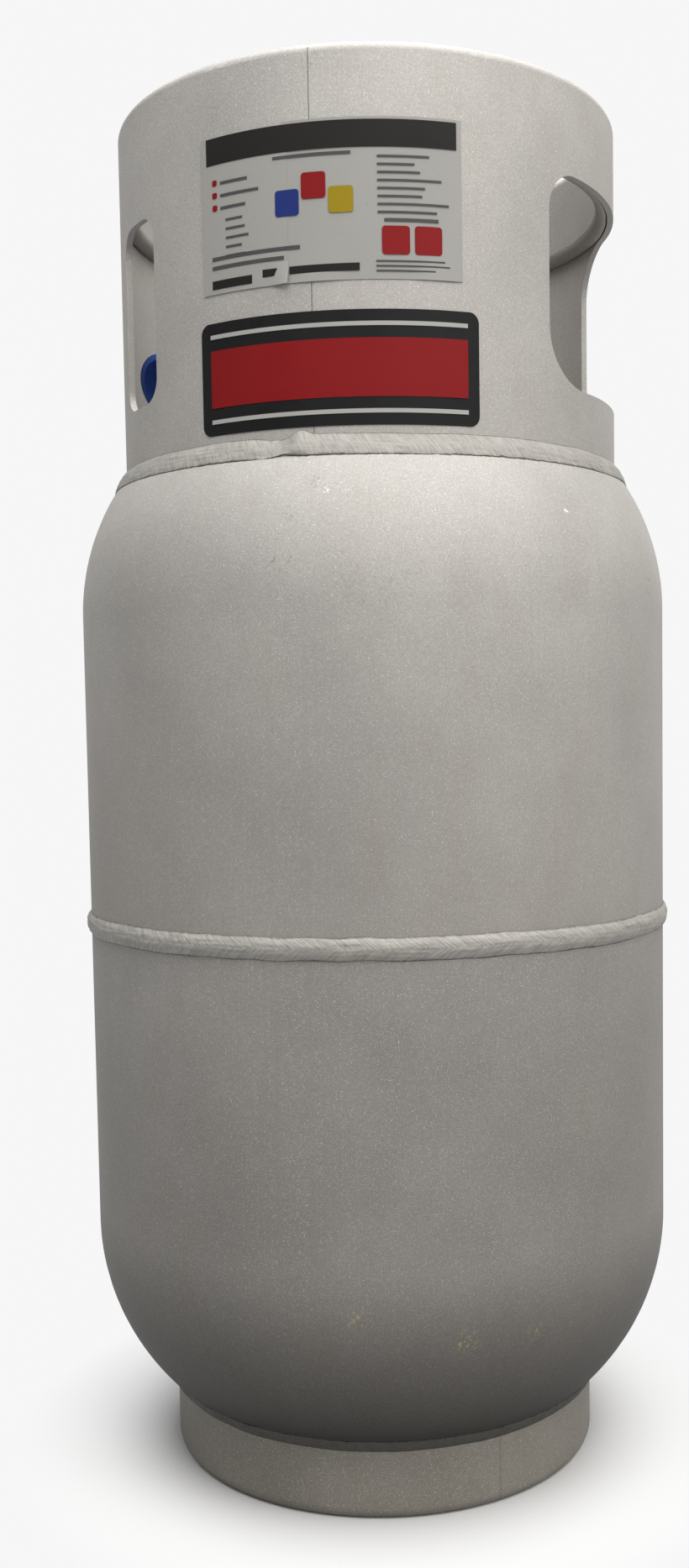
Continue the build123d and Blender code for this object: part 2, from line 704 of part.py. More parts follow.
mouth = bearing_vector(MOUTH_BEARING) * cos(radians(MOUTH_TILT)) + Vector(0, 0, sin(radians(MOUTH_TILT)))
cap_centre = bearing_vector(CAP_BEARING) * CAP_REACH + Vector(0, 0, CAP_Z)
CAP_PLANE = Plane(origin=cap_centre, x_dir=mouth.cross(Vector(0, 0, 1)), z_dir=mouth)
cap_back = cap_centre - mouth * CAP_DEPTH

with BuildPart() as fill_cap:
    disc(CAP_PLANE, CAP_R, -CAP_DEPTH, 0)
    fillet(faces().sort_by(Axis(cap_centre, mouth))[0].edges(), 1.5)
    disc(CAP_PLANE, CAP_BORE_R, -CAP_DEPTH + 2.2, 0, mode=Mode.SUBTRACT)
    with BuildSketch(CAP_PLANE.offset(-CAP_DEPTH)):
        with PolarLocations(CAP_R + 0.5, 24):
            Circle(0.9)
    extrude(amount=CAP_DEPTH - 2, mode=Mode.SUBTRACT)
save(fill_cap, "fill_cap")

with BuildPart() as strap_ring:
    turn(FILL, [
        (FILL_NECK_R + 0.1, STRAP_Z),
        (STRAP_OUTER_R, STRAP_Z),
        (STRAP_OUTER_R, STRAP_Z + STRAP_THICK),
        (FILL_NECK_R + 0.1, STRAP_Z + STRAP_THICK),
    ])
save(strap_ring, "strap_ring")

strap_out = Vector(cap_back.X - FILL[0], cap_back.Y - FILL[1], 0).normalized()
strap_start = Vector(*FILL, STRAP_Z + STRAP_THICK / 2) + strap_out * (STRAP_OUTER_R + 0.1)
STRAP_ROUTE = [strap_start, strap_start + strap_out * 12 + Vector(0, 0, 1), cap_back - mouth * 9, cap_back]

with BuildPart() as cap_strap:
    with BuildLine() as strap_path:
        FilletPolyline(*STRAP_ROUTE, radius=4)
    strap_across = strap_out.cross(Vector(0, 0, 1))
    with BuildSketch(Plane(origin=strap_start, x_dir=strap_across, z_dir=strap_path.line % 0)):
        Rectangle(STRAP_WIDTH, STRAP_THICK)
    sweep()
save(cap_strap, "cap_strap")

# ---------------------------------------------------------------- relief valve
RELIEF_LOW = 556.0
RELIEF_PLUG_R = 17.0
RELIEF_SEAT_Z = 580.0
RELIEF_BODY_R = 19.0
RELIEF_BORE_R = 15.0
RELIEF_TOP = 632.0
ADJUSTER_LOW = 622.0
ADJUSTER_THICK = 6.0
GUIDE_R = 3.0
HOOD_R = 22.0
HOOD_LOW = 616.0
HOOD_TOP = 652.0
ELBOW_Z = 636.0
ELBOW_R = 14.0
ELBOW_BORE_R = 11.0
ELBOW_REACH = 40.0
RAIN_CAP_R = 16.0
RAIN_CAP_SKIRT = 12.0
ELBOW_BEARING = degrees(atan2(-54.9, -37.5))
ELBOW = Plane(
    origin=(*RELIEF, ELBOW_Z),
    x_dir=bearing_vector(ELBOW_BEARING).cross(Vector(0, 0, 1)),
    z_dir=bearing_vector(ELBOW_BEARING),
)

with BuildPart() as relief_body:
    bar(RELIEF, RELIEF_PLUG_R, RELIEF_LOW, BOSS_TOP)
    hexagon(RELIEF, 2 * HOOD_R, BOSS_TOP, BOSS_TOP + 10)
    bar(RELIEF, RELIEF_BODY_R, BOSS_TOP + 10, RELIEF_TOP)
    bar(RELIEF, 10, RELIEF_LOW, RELIEF_SEAT_Z, mode=Mode.SUBTRACT)
    bar(RELIEF, RELIEF_BORE_R, RELIEF_SEAT_Z, RELIEF_TOP, mode=Mode.SUBTRACT)
save(relief_body, "relief_body")

with BuildPart() as relief_poppet:
    turn(RELIEF, [
        (0, RELIEF_SEAT_Z + RUNNING),
        (12, RELIEF_SEAT_Z + RUNNING),
        (12, RELIEF_SEAT_Z + 5),
        (GUIDE_R, RELIEF_SEAT_Z + 5),
        (GUIDE_R, ADJUSTER_LOW + 3),
        (0, ADJUSTER_LOW + 3),
    ])
save(relief_poppet, "relief_poppet")

with BuildPart() as relief_spring:
    coil((*RELIEF, RELIEF_SEAT_Z + 5), (0, 0, 1), 9, 2.4, ADJUSTER_LOW - RELIEF_SEAT_Z - 5, 6)
save(relief_spring, "relief_spring")

with BuildPart() as relief_adjuster:
    bar(RELIEF, RELIEF_BORE_R, ADJUSTER_LOW, ADJUSTER_LOW + ADJUSTER_THICK)
    bar(RELIEF, GUIDE_R + RUNNING, ADJUSTER_LOW, ADJUSTER_LOW + ADJUSTER_THICK, mode=Mode.SUBTRACT)
    ring_of(RELIEF, 4, 9, 3.5, ADJUSTER_LOW, ADJUSTER_LOW + ADJUSTER_THICK)
save(relief_adjuster, "relief_adjuster")

with BuildPart() as relief_elbow:
    bar(RELIEF, HOOD_R, HOOD_LOW, HOOD_TOP)
    fillet(faces().sort_by(Axis.Z)[-1].edges(), 5)
    disc(ELBOW, ELBOW_R, 0, ELBOW_REACH)
    bar(RELIEF, RELIEF_BODY_R, HOOD_LOW, RELIEF_TOP, mode=Mode.SUBTRACT)
    bar(RELIEF, RELIEF_BORE_R, RELIEF_TOP, HOOD_TOP - 6, mode=Mode.SUBTRACT)
    disc(ELBOW, ELBOW_BORE_R, 0, ELBOW_REACH, mode=Mode.SUBTRACT)
save(relief_elbow, "relief_elbow")

with BuildPart() as rain_cap:
    disc(ELBOW, RAIN_CAP_R, ELBOW_REACH - RAIN_CAP_SKIRT, ELBOW_REACH + 2.5)
    fillet(faces().sort_by(Axis(ELBOW.origin, ELBOW.z_dir))[-1].edges(), 1.5)
    disc(ELBOW, ELBOW_R + RUNNING, ELBOW_REACH - RAIN_CAP_SKIRT, ELBOW_REACH + RUNNING, mode=Mode.SUBTRACT)
save(rain_cap, "rain_cap")

# ---------------------------------------------------------------- fixed level vent
VENT_LOW = 560.0
VENT_PLUG_TOP = 590.0
VENT_HEX_TOP = 598.0
VENT_TOP = 607.0
VENT_SEAT_Z = 600.0
VENT_SCREW_R = 3.0
VENT_TUBE_R = 2.2
VENT_TUBE_TOP = 568.0
LEVEL_Z = 470.0
KNOB_R = 8.0
KNOB_TOP = 616.0
VENT_SIDE = Plane(origin=(*VENT, VENT_SEAT_Z + 3), x_dir=(1, 0, 0), z_dir=(0, -1, 0))

with BuildPart() as vent_body:
    bar(VENT, 6.8, VENT_LOW, VENT_PLUG_TOP)
    hexagon(VENT, 17.5, VENT_PLUG_TOP, VENT_HEX_TOP)
    bar(VENT, 7, VENT_HEX_TOP, VENT_TOP)
    bar(VENT, 1.5, VENT_LOW, VENT_SEAT_Z, mode=Mode.SUBTRACT)
    bar(VENT, VENT_SCREW_R, VENT_SEAT_Z, VENT_TOP, mode=Mode.SUBTRACT)
    disc(VENT_SIDE, 0.7, 0, 10, mode=Mode.SUBTRACT)
    bar(VENT, VENT_TUBE_R, VENT_LOW, VENT_TUBE_TOP, mode=Mode.SUBTRACT)
save(vent_body, "vent_body")

with BuildPart() as bleeder_screw:
    turn(VENT, [
        (0, VENT_SEAT_Z + RUNNING),
        (1.2, VENT_SEAT_Z + RUNNING),
        (VENT_SCREW_R - RUNNING, VENT_SEAT_Z + 2),
        (VENT_SCREW_R - RUNNING, VENT_TOP + 0.1),
        (KNOB_R, VENT_TOP + 0.1),
        (KNOB_R, KNOB_TOP - 1),
        (KNOB_R - 1, KNOB_TOP),
        (0, KNOB_TOP),
    ])
    ring_of(VENT, 24, KNOB_R + 0.3, 0.7, VENT_TOP + 0.1, KNOB_TOP)
    with Locations((*VENT, KNOB_TOP)):
        Box(14, 1.4, 3, mode=Mode.SUBTRACT)
save(bleeder_screw, "bleeder_screw")

with BuildPart() as vent_tube:
    bar(VENT, VENT_TUBE_R, LEVEL_Z, VENT_TUBE_TOP)
    bar(VENT, 1.4, LEVEL_Z, VENT_TUBE_TOP, mode=Mode.SUBTRACT)
save(vent_tube, "vent_tube")

# ---------------------------------------------------------------- float gauge
FLANGE_R = 28.0
FLANGE_BORE_R = 16.0
FLANGE_TOP = 588.0
GASKET_TOP = 590.0
BOLT_CIRCLE_R = 22.0
BOLT_R = 2.5
HEAD_PAD_R = 20.0
DIAL_Z = 604.0
DIAL_R = 18.0
SHAFT_R = 1.5
PIVOT_Z = 436.0
FLOAT_ARM = 96.0
FLOAT_LENGTH = 30.0
FLOAT_R = 16.0
GEAR_INNER = 6.0
GEAR_OUTER = 9.0
GEAR_GAP = 0.12
PIVOT = Plane(origin=(*GAUGE, PIVOT_Z), x_dir=(1, 0, 0), z_dir=(0, -1, 0))

with BuildPart() as gauge_gasket:
    turn(GAUGE, [
        (FLANGE_BORE_R, FLANGE_TOP),
        (FLANGE_R, FLANGE_TOP),
        (FLANGE_R, GASKET_TOP),
        (FLANGE_BORE_R, GASKET_TOP),
    ])
    ring_of(GAUGE, 4, BOLT_CIRCLE_R, BOLT_R + 0.2, FLANGE_TOP, GASKET_TOP)
save(gauge_gasket, "gauge_gasket")

with BuildPart() as gauge_head:
    turn(GAUGE, [
        (0, GASKET_TOP),
        (8, GASKET_TOP),
        (8, 560),
        (12, 560),
        (12, GASKET_TOP),
        (FLANGE_R, GASKET_TOP),
        (FLANGE_R, 597),
        (FLANGE_R - 1, 598),
        (HEAD_PAD_R, 598),
        (HEAD_PAD_R, DIAL_Z),
        (0, DIAL_Z),
    ])
    ring_of(GAUGE, 4, BOLT_CIRCLE_R, BOLT_R + 0.2, GASKET_TOP, 598)
    ring_of(GAUGE, 4, BOLT_CIRCLE_R, 4.4, 594.5, DIAL_Z + 1)
save(gauge_head, "gauge_head")

with BuildPart() as gauge_screws:
    ring_of(GAUGE, 4, BOLT_CIRCLE_R, BOLT_R, 577, 594.5, mode=Mode.ADD)
    ring_of(GAUGE, 4, BOLT_CIRCLE_R, 4.2, 594.5, 599.5, mode=Mode.ADD)
    with BuildSketch(Plane.XY.offset(597)):
        with Locations(GAUGE):
            with PolarLocations(BOLT_CIRCLE_R, 4, start_angle=45):
                RegularPolygon(2, 6, major_radius=False)
    extrude(amount=2.5, mode=Mode.SUBTRACT)
save(gauge_screws, "gauge_screws")

with BuildPart() as gauge_dial:
    bar(GAUGE, DIAL_R, DIAL_Z, DIAL_Z + 1)
save(gauge_dial, "gauge_dial")

with BuildPart() as gauge_pointer:
    with BuildSketch(Plane.XY.offset(DIAL_Z + 1.3)):
        with Locations(GAUGE):
            Circle(3)
            Polygon((0, 1.6), (0, -1.6), (15, 0), align=None)
    extrude(amount=1)
save(gauge_pointer, "gauge_pointer")

with BuildPart() as gauge_lens:
    turn(GAUGE, [
        (DIAL_R + 0.1, DIAL_Z),
        (HEAD_PAD_R, DIAL_Z),
        (HEAD_PAD_R, DIAL_Z + 4),
        (17, DIAL_Z + 6.5),
        (0, DIAL_Z + 7),
        (0, DIAL_Z + 5.4),
        (16.4, DIAL_Z + 5),
        (DIAL_R + 0.1, DIAL_Z + 3.4),
    ])
save(gauge_lens, "gauge_lens")

with BuildPart() as gauge_tube:
    bar(GAUGE, 8, 548, 574)
    bar(GAUGE, 6, 446, 548)
    with Locations((GAUGE[0], GAUGE[1] - 11.5, 440)):
        Box(10, 3, 26)
    with Locations((GAUGE[0], GAUGE[1] - 7.5, 449.5)):
        Box(10, 8, 7)
    bar(GAUGE, SHAFT_R + RUNNING, 446, 574, mode=Mode.SUBTRACT)
    disc(PIVOT, SHAFT_R + RUNNING, 9, 14, mode=Mode.SUBTRACT)
save(gauge_tube, "gauge_tube")

with BuildPart() as drive_shaft:
    bar(GAUGE, SHAFT_R, 445, 580)
    turn(GAUGE, [
        (0, PIVOT_Z + GEAR_INNER),
        (GEAR_INNER - GEAR_GAP, PIVOT_Z + GEAR_INNER),
        (GEAR_OUTER - GEAR_GAP, PIVOT_Z + GEAR_OUTER),
        (0, PIVOT_Z + GEAR_OUTER),
    ])
save(drive_shaft, "drive_shaft")

with BuildPart() as gauge_magnet:
    bar(GAUGE, 7, 580, 588)
save(gauge_magnet, "gauge_magnet")

with BuildPart() as float_arm:
    with BuildSketch(PIVOT.offset(GEAR_INNER)):
        Circle(GEAR_INNER - GEAR_GAP)
    with BuildSketch(PIVOT.offset(GEAR_OUTER)):
        Circle(GEAR_OUTER - GEAR_GAP)
    loft()
    disc(PIVOT, SHAFT_R, 8, 13.5)
    bar((GAUGE[0], GAUGE[1] - 7.6), 1.2, PIVOT_Z - FLOAT_ARM, PIVOT_Z)
save(float_arm, "float_arm")

with BuildPart() as gauge_float:
    turn((GAUGE[0], GAUGE[1] - 7.6), [
        (0, PIVOT_Z - FLOAT_ARM - FLOAT_LENGTH),
        (FLOAT_R - 3, PIVOT_Z - FLOAT_ARM - FLOAT_LENGTH),
        (FLOAT_R, PIVOT_Z - FLOAT_ARM - FLOAT_LENGTH + 3),
        (FLOAT_R, PIVOT_Z - FLOAT_ARM - 3),
        (FLOAT_R - 3, PIVOT_Z - FLOAT_ARM),
        (0, PIVOT_Z - FLOAT_ARM),
    ])
save(gauge_float, "gauge_float")
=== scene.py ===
import json
from math import cos, exp, hypot, pi, radians, sin, sqrt

import bmesh
import bpy
from mathutils import Matrix, Vector, noise


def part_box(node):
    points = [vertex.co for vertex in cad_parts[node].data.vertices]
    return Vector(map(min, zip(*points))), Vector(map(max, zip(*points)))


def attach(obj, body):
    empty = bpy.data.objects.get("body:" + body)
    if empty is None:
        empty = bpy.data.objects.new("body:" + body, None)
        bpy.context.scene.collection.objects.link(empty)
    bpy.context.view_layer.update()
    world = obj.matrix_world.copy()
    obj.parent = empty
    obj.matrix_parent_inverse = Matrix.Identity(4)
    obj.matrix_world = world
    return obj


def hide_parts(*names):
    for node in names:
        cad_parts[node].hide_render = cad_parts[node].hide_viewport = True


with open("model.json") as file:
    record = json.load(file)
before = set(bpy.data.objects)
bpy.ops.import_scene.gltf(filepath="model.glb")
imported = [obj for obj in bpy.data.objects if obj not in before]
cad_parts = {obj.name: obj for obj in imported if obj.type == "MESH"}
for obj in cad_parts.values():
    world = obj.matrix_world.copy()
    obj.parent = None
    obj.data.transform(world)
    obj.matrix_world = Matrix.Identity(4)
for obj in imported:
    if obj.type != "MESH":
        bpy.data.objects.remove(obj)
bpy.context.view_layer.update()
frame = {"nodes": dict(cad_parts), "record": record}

scene = bpy.context.scene
nodes = frame["nodes"]


# ---------------------------------------------------------------- helpers
def size_of(name):
    low, high = (Vector(corner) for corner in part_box(name))
    return low, high


def bearing(angle, radius=1.0, height=0.0):
    """Point at a bearing measured from -Y towards +X, in degrees."""
    return Vector((radius * sin(radians(angle)), -radius * cos(radians(angle)), height))


# bearing of the camera as seen from the axis
VIEW_BEARING = 14.7


def to_view(angle):
    """Bearing of a feature given as degrees right of the middle of the side the camera faces."""
    return angle + VIEW_BEARING


# driving sizes, read from the frame
tank_low, tank_high = size_of("upper_shell")
collar_low, collar_high = size_of("collar")
foot_low, foot_high = size_of("foot_ring")
girth_low, girth_high = size_of("girth_weld")
TANK_R = tank_high.x
COLLAR_R = collar_high.x
FOOT_R = foot_high.x
CROWN_TOP = tank_high.z
LOWER_BOTTOM = size_of("lower_shell")[0].z
KNUCKLE_R = 0.1224
KNUCKLE_X = TANK_R - KNUCKLE_R
UPPER_KNUCKLE_Z = CROWN_TOP - KNUCKLE_R
LOWER_KNUCKLE_Z = LOWER_BOTTOM + KNUCKLE_R
GIRTH_Z = (girth_low.z + girth_high.z) / 2


# ---------------------------------------------------------------- camera
CAMERA_DISTANCE = 0.8704
CAMERA_HEIGHT = 0.3964
PITCH = radians(-4.22)
ROLL = radians(-0.88)
SENSOR = 36.0
FRAME_PIXELS = (820, 1867)
FOCAL_PIXELS = 1843.4
CENTRE_PIXELS = (447.8, 1008.0)

camera_data = bpy.data.cameras.new("camera")
camera = bpy.data.objects.new("camera", camera_data)
scene.collection.objects.link(camera)
camera_data.sensor_fit = "VERTICAL"
camera_data.sensor_height = SENSOR
camera_data.lens = FOCAL_PIXELS * SENSOR / FRAME_PIXELS[1]
camera_data.shift_x = (FRAME_PIXELS[0] / 2 - CENTRE_PIXELS[0]) / FRAME_PIXELS[1]
camera_data.shift_y = (CENTRE_PIXELS[1] - FRAME_PIXELS[1] / 2) / FRAME_PIXELS[1]
camera_data.clip_start = 0.01
camera_data.clip_end = 50
camera.location = bearing(VIEW_BEARING, CAMERA_DISTANCE, CAMERA_HEIGHT)
camera.rotation_euler = (
    Matrix.Rotation(radians(VIEW_BEARING), 3, "Z")
    @ Matrix.Rotation(pi / 2 + PITCH, 3, "X")
    @ Matrix.Rotation(ROLL, 3, "Z")
).to_euler()
scene.camera = camera


# ---------------------------------------------------------------- material helpers
class Shader:
    """Small builder for a procedural material on object coordinates."""

    def __init__(self, name):
        self.material = bpy.data.materials.new(name)
        self.material.use_nodes = True
        self.tree = self.material.node_tree
        self.tree.nodes.clear()
        self.out = self.add("ShaderNodeOutputMaterial")
        self.bsdf = self.add("ShaderNodeBsdfPrincipled")
        self.link(self.bsdf.outputs[0], self.out.inputs["Surface"])
        self.coords = self.add("ShaderNodeTexCoord").outputs["Object"]

    def add(self, kind, **settings):
        node = self.tree.nodes.new(kind)
        for key, value in settings.items():
            setattr(node, key, value)
        return node

    def link(self, source, target):
        self.tree.links.new(source, target)

    def set(self, **values):
        for key, value in values.items():
            self.bsdf.inputs[key.replace("_", " ")].default_value = value

    def mapped(self, scale):
        node = self.add("ShaderNodeMapping")
        node.inputs["Scale"].default_value = scale
        self.link(self.coords, node.inputs["Vector"])
        return node.outputs[0]

    def noise(self, scale, detail=3.0, roughness=0.5, vector=None):
        node = self.add("ShaderNodeTexNoise")
        node.inputs["Scale"].default_value = scale
        node.inputs["Detail"].default_value = detail
        node.inputs["Roughness"].default_value = roughness
        self.link(vector or self.coords, node.inputs["Vector"])
        return node.outputs["Fac"]

    def voronoi(self, scale):
        node = self.add("ShaderNodeTexVoronoi")
        node.inputs["Scale"].default_value = scale
        self.link(self.coords, node.inputs["Vector"])
        return node.outputs["Distance"]

    def math(self, operation, a, b=None, c=None):
        node = self.add("ShaderNodeMath", operation=operation)
        for socket, value in zip(node.inputs, (a, b, c)):
            if value is None:
                continue
            if isinstance(value, (int, float)):
                socket.default_value = value
            else:
                self.link(value, socket)
        return node.outputs[0]

    def ramp(self, source, low, high, to_low=0.0, to_high=1.0):
        node = self.add("ShaderNodeMapRange", clamp=True)
        self.link(source, node.inputs["Value"])
        node.inputs["From Min"].default_value = low
        node.inputs["From Max"].default_value = high
        node.inputs["To Min"].default_value = to_low
        node.inputs["To Max"].default_value = to_high
        return node.outputs["Result"]

    def mix(self, factor, a, b, blend="MIX"):
        node = self.add("ShaderNodeMix", data_type="RGBA", blend_type=blend, clamp_factor=True)
        for socket, value in ((node.inputs[0], factor), (node.inputs[6], a), (node.inputs[7], b)):
            if isinstance(value, (int, float)):
                socket.default_value = value
            elif isinstance(value, tuple):
                socket.default_value = (*value, 1.0) if len(value) == 3 else value
            else:
                self.link(value, socket)
        return node.outputs[2]

    def separate(self):
        node = self.add("ShaderNodeSeparateXYZ")
        self.link(self.coords, node.inputs[0])
        return node.outputs

    def spot(self, centre, radius, wobble=0.25, noise_scale=90.0):
        """Soft-edged blotch about a point in space, 1 at the middle."""
        node = self.add("ShaderNodeVectorMath", operation="DISTANCE")
        self.link(self.coords, node.inputs[0])
        node.inputs[1].default_value = tuple(centre)
        unevenness = self.noise(noise_scale, 4, 0.6)
        ragged = self.math("MULTIPLY_ADD", unevenness, radius * 4 * wobble, -radius * 2 * wobble)
        distance = self.math("ADD", node.outputs["Value"], ragged)
        return self.ramp(distance, radius * 0.25, radius, 1.0, 0.0)

    def bump(self, height, strength=0.2, distance=0.001, normal=None):
        node = self.add("ShaderNodeBump")
        node.inputs["Strength"].default_value = strength
        node.inputs["Distance"].default_value = distance
        self.link(height, node.inputs["Height"])
        if normal:
            self.link(normal, node.inputs["Normal"])
        return node.outputs[0]

    def finish(self, colour, roughness=None, normal=None):
        for key, value in (("Base Color", colour), ("Roughness", roughness), ("Normal", normal)):
            if value is not None:
                self.link(value, self.bsdf.inputs[key])
        return self.material


def paint(names, material):
    for name in names:
        data = nodes[name].data
        data.materials.clear()
        data.materials.append(material)


# ---------------------------------------------------------------- materials
DARK_SPECK = (0.10, 0.09, 0.08)
BROWN = (0.16, 0.10, 0.05)
GOLD = (0.62, 0.47, 0.20)
WHITE_NICK = (0.85, 0.85, 0.82)
SPARKLE = (0.86, 0.84, 0.80)
# soil colour, for real grime and painted shade towards the floor
SOIL_AND_SHADE = (0.15, 0.142, 0.138)
SEAM_CORE = 0.0002
SEAM_EDGE = 0.0009
SEAM_STRENGTH = 0.28


def tinted(tone, factor):
    return tuple(channel * factor for channel in tone)


def satin_aluminium(
    name, tone, stains=(), darker=0.0, rolled=True, shade_below=None, grime_and_shade=None, seam=None
):
    """Weathered mill-finish aluminium: sparkle grain, cloudy oxide, faint rolling lines, specks.

    film is (low, high, shade): painted shade, the colour darkened to shade at low, clear at high. grime
    is (low, high): real grime and painted shade, the soil colour multiplied in at low, clear at high.
    seam is the bearing of a hairline joint.
    """
    s = Shader(name)
    s.set(Metallic=0.25, IOR=1.45, Specular_IOR_Level=0.2)
    cloud = s.noise(7.0, 5, 0.62)
    grain = s.noise(900.0, 2, 0.6)
    fine = s.noise(2600.0, 1, 0.5)
    drift = s.noise(60.0, 4, 0.65, vector=s.mapped((1, 1, 0.35)))
    light = tuple(min(c * 1.13, 1.0) for c in tone)
    dark = tinted(tone, 0.84 - darker)
    warm = (tone[0] * 0.93, tone[1] * 0.88, tone[2] * 0.80)
    colour = s.mix(s.ramp(cloud, 0.32, 0.68), dark, light)
    colour = s.mix(s.ramp(drift, 0.5, 0.75, 0.0, 0.35), colour, warm)
    colour = s.mix(s.ramp(grain, 0.35, 0.7, 0.0, 0.32), colour, tinted(tone, 0.62))
    colour = s.mix(s.ramp(fine, 0.62, 0.8, 0.0, 0.55), colour, SPARKLE)
    pits = s.ramp(s.voronoi(420.0), 0.035, 0.10, 1.0, 0.0)
    rare = s.ramp(s.noise(35.0, 3, 0.7), 0.60, 0.70)
    colour = s.mix(s.math("MULTIPLY", pits, rare), colour, DARK_SPECK)
    for centre, radius, shade, strength in stains:
        blotch = s.spot(centre, radius)
        specks = s.ramp(s.noise(620.0, 3, 0.75), 0.54, 0.66)
        colour = s.mix(s.math("MULTIPLY", s.math("MULTIPLY", blotch, specks), strength), colour, shade)
    # painted shade: the colour is multiplied darker towards the bottom, fully at low and clear at high
    if shade_below:
        low, high, shade = shade_below
        shaded_below = s.mix(1.0, colour, (shade, shade * 0.985, shade * 0.97), "MULTIPLY")
        colour = s.mix(s.ramp(s.separate()[2], low, high, 1.0, 0.0), colour, shaded_below)
    # real grime and painted shade: the metal takes the soil colour towards the floor
    if grime_and_shade:
        soiled_and_shaded = s.mix(1.0, colour, SOIL_AND_SHADE, "MULTIPLY")
        colour = s.mix(s.ramp(s.separate()[2], *grime_and_shade, 1.0, 0.0), colour, soiled_and_shaded)
    if seam is not None:
        x, y, _ = s.separate()
        outward, sideways = bearing(seam), bearing(seam - 90)
        beside = s.math("MULTIPLY_ADD", x, sideways.x, s.math("MULTIPLY", y, sideways.y))
        ahead = s.math("MULTIPLY_ADD", x, outward.x, s.math("MULTIPLY", y, outward.y))
        hairline = s.ramp(s.math("ABSOLUTE", beside), SEAM_CORE, SEAM_EDGE, SEAM_STRENGTH, 0.0)
        hairline = s.math("MULTIPLY", hairline, s.math("GREATER_THAN", ahead, 0.0))
        colour = s.mix(hairline, colour, tinted(tone, 0.4))
    roughness = s.ramp(cloud, 0.3, 0.7, 0.58, 0.70)
    height = s.math("ADD", s.math("MULTIPLY", grain, 0.7), s.math("MULTIPLY", fine, 0.3))
    if rolled:
        lines = s.noise(240.0, 2, 0.5, vector=s.mapped((0.02, 0.02, 1)))
        height = s.math("ADD", height, s.math("MULTIPLY", lines, 0.25))
    normal = s.bump(height, 0.28, 0.00035)
    return s.finish(colour, roughness, normal)


def vessel_radius(height):
    """Radius of the vessel at a height."""
    if height > UPPER_KNUCKLE_Z:
        return KNUCKLE_X + sqrt(KNUCKLE_R**2 - (height - UPPER_KNUCKLE_Z) ** 2)
    if height < LOWER_KNUCKLE_Z:
        return KNUCKLE_X + sqrt(KNUCKLE_R**2 - (LOWER_KNUCKLE_Z - height) ** 2)
    return TANK_R


def stain(view_angle, height, radius, shade, strength):
    return (bearing(to_view(view_angle), vessel_radius(height), height), radius, shade, strength)


UPPER_STAINS = [
    stain(-17, 0.478, 0.016, DARK_SPECK, 0.50),
    stain(-1, 0.462, 0.017, DARK_SPECK, 0.28),
    stain(6, 0.468, 0.012, DARK_SPECK, 0.25),
    stain(-14, 0.498, 0.005, DARK_SPECK, 0.8),
    stain(-10, 0.513, 0.006, DARK_SPECK, 0.7),
    stain(63, 0.470, 0.009, BROWN, 0.9),
    stain(-8, 0.508, 0.002, WHITE_NICK, 0.9),
    stain(38, 0.500, 0.003, WHITE_NICK, 0.8),
]
LOWER_STAINS = [
    stain(-5.3, 0.120, 0.009, GOLD, 0.45),
    stain(14.8, 0.104, 0.009, GOLD, 0.7),
    stain(28, 0.104, 0.008, GOLD, 0.45),
    stain(25, 0.218, 0.005, BROWN, 0.5),
    stain(22, 0.283, 0.012, DARK_SPECK, 0.30),
    stain(-70, 0.286, 0.010, DARK_SPECK, 0.35),
]
COLLAR_STAINS = [
    (bearing(to_view(-32), COLLAR_R, 0.690), 0.007, DARK_SPECK, 0.5),
    (bearing(to_view(-20), COLLAR_R, 0.588), 0.006, DARK_SPECK, 0.8),
    (bearing(to_view(38), COLLAR_R, 0.700), 0.0022, DARK_SPECK, 1.0),
    (bearing(to_view(-11), COLLAR_R, 0.706), 0.006, DARK_SPECK, 0.6),
]

TONE = (0.262, 0.252, 0.237)
FOOT_SEAM = to_view(30)
# painted shade: the upper shell darkens from 0.46 down to 0.29, towards the bottom
aluminium_upper = satin_aluminium("aluminium_upper", TONE, UPPER_STAINS, shade_below=(0.29, 0.46, 0.80))
# painted shade: the lower shell is a darker copy of the upper shell's tone, darkens further from 0.29
# down to 0.08, and near the floor takes the soil colour as real grime and painted shade
aluminium_lower = satin_aluminium(
    "aluminium_lower",
    tinted(TONE, 0.77),
    LOWER_STAINS,
    shade_below=(0.08, 0.29, 0.76),
    grime_and_shade=(0.040, 0.142),
)
aluminium_collar = satin_aluminium("aluminium_collar", tinted(TONE, 1.03), COLLAR_STAINS)
aluminium_foot = satin_aluminium("aluminium_foot", (0.175, 0.164, 0.143), darker=0.12, seam=FOOT_SEAM)
aluminium_part = satin_aluminium("aluminium_part", (0.27, 0.263, 0.252), rolled=False)


SCALE_BROWN = (0.20, 0.14, 0.085)


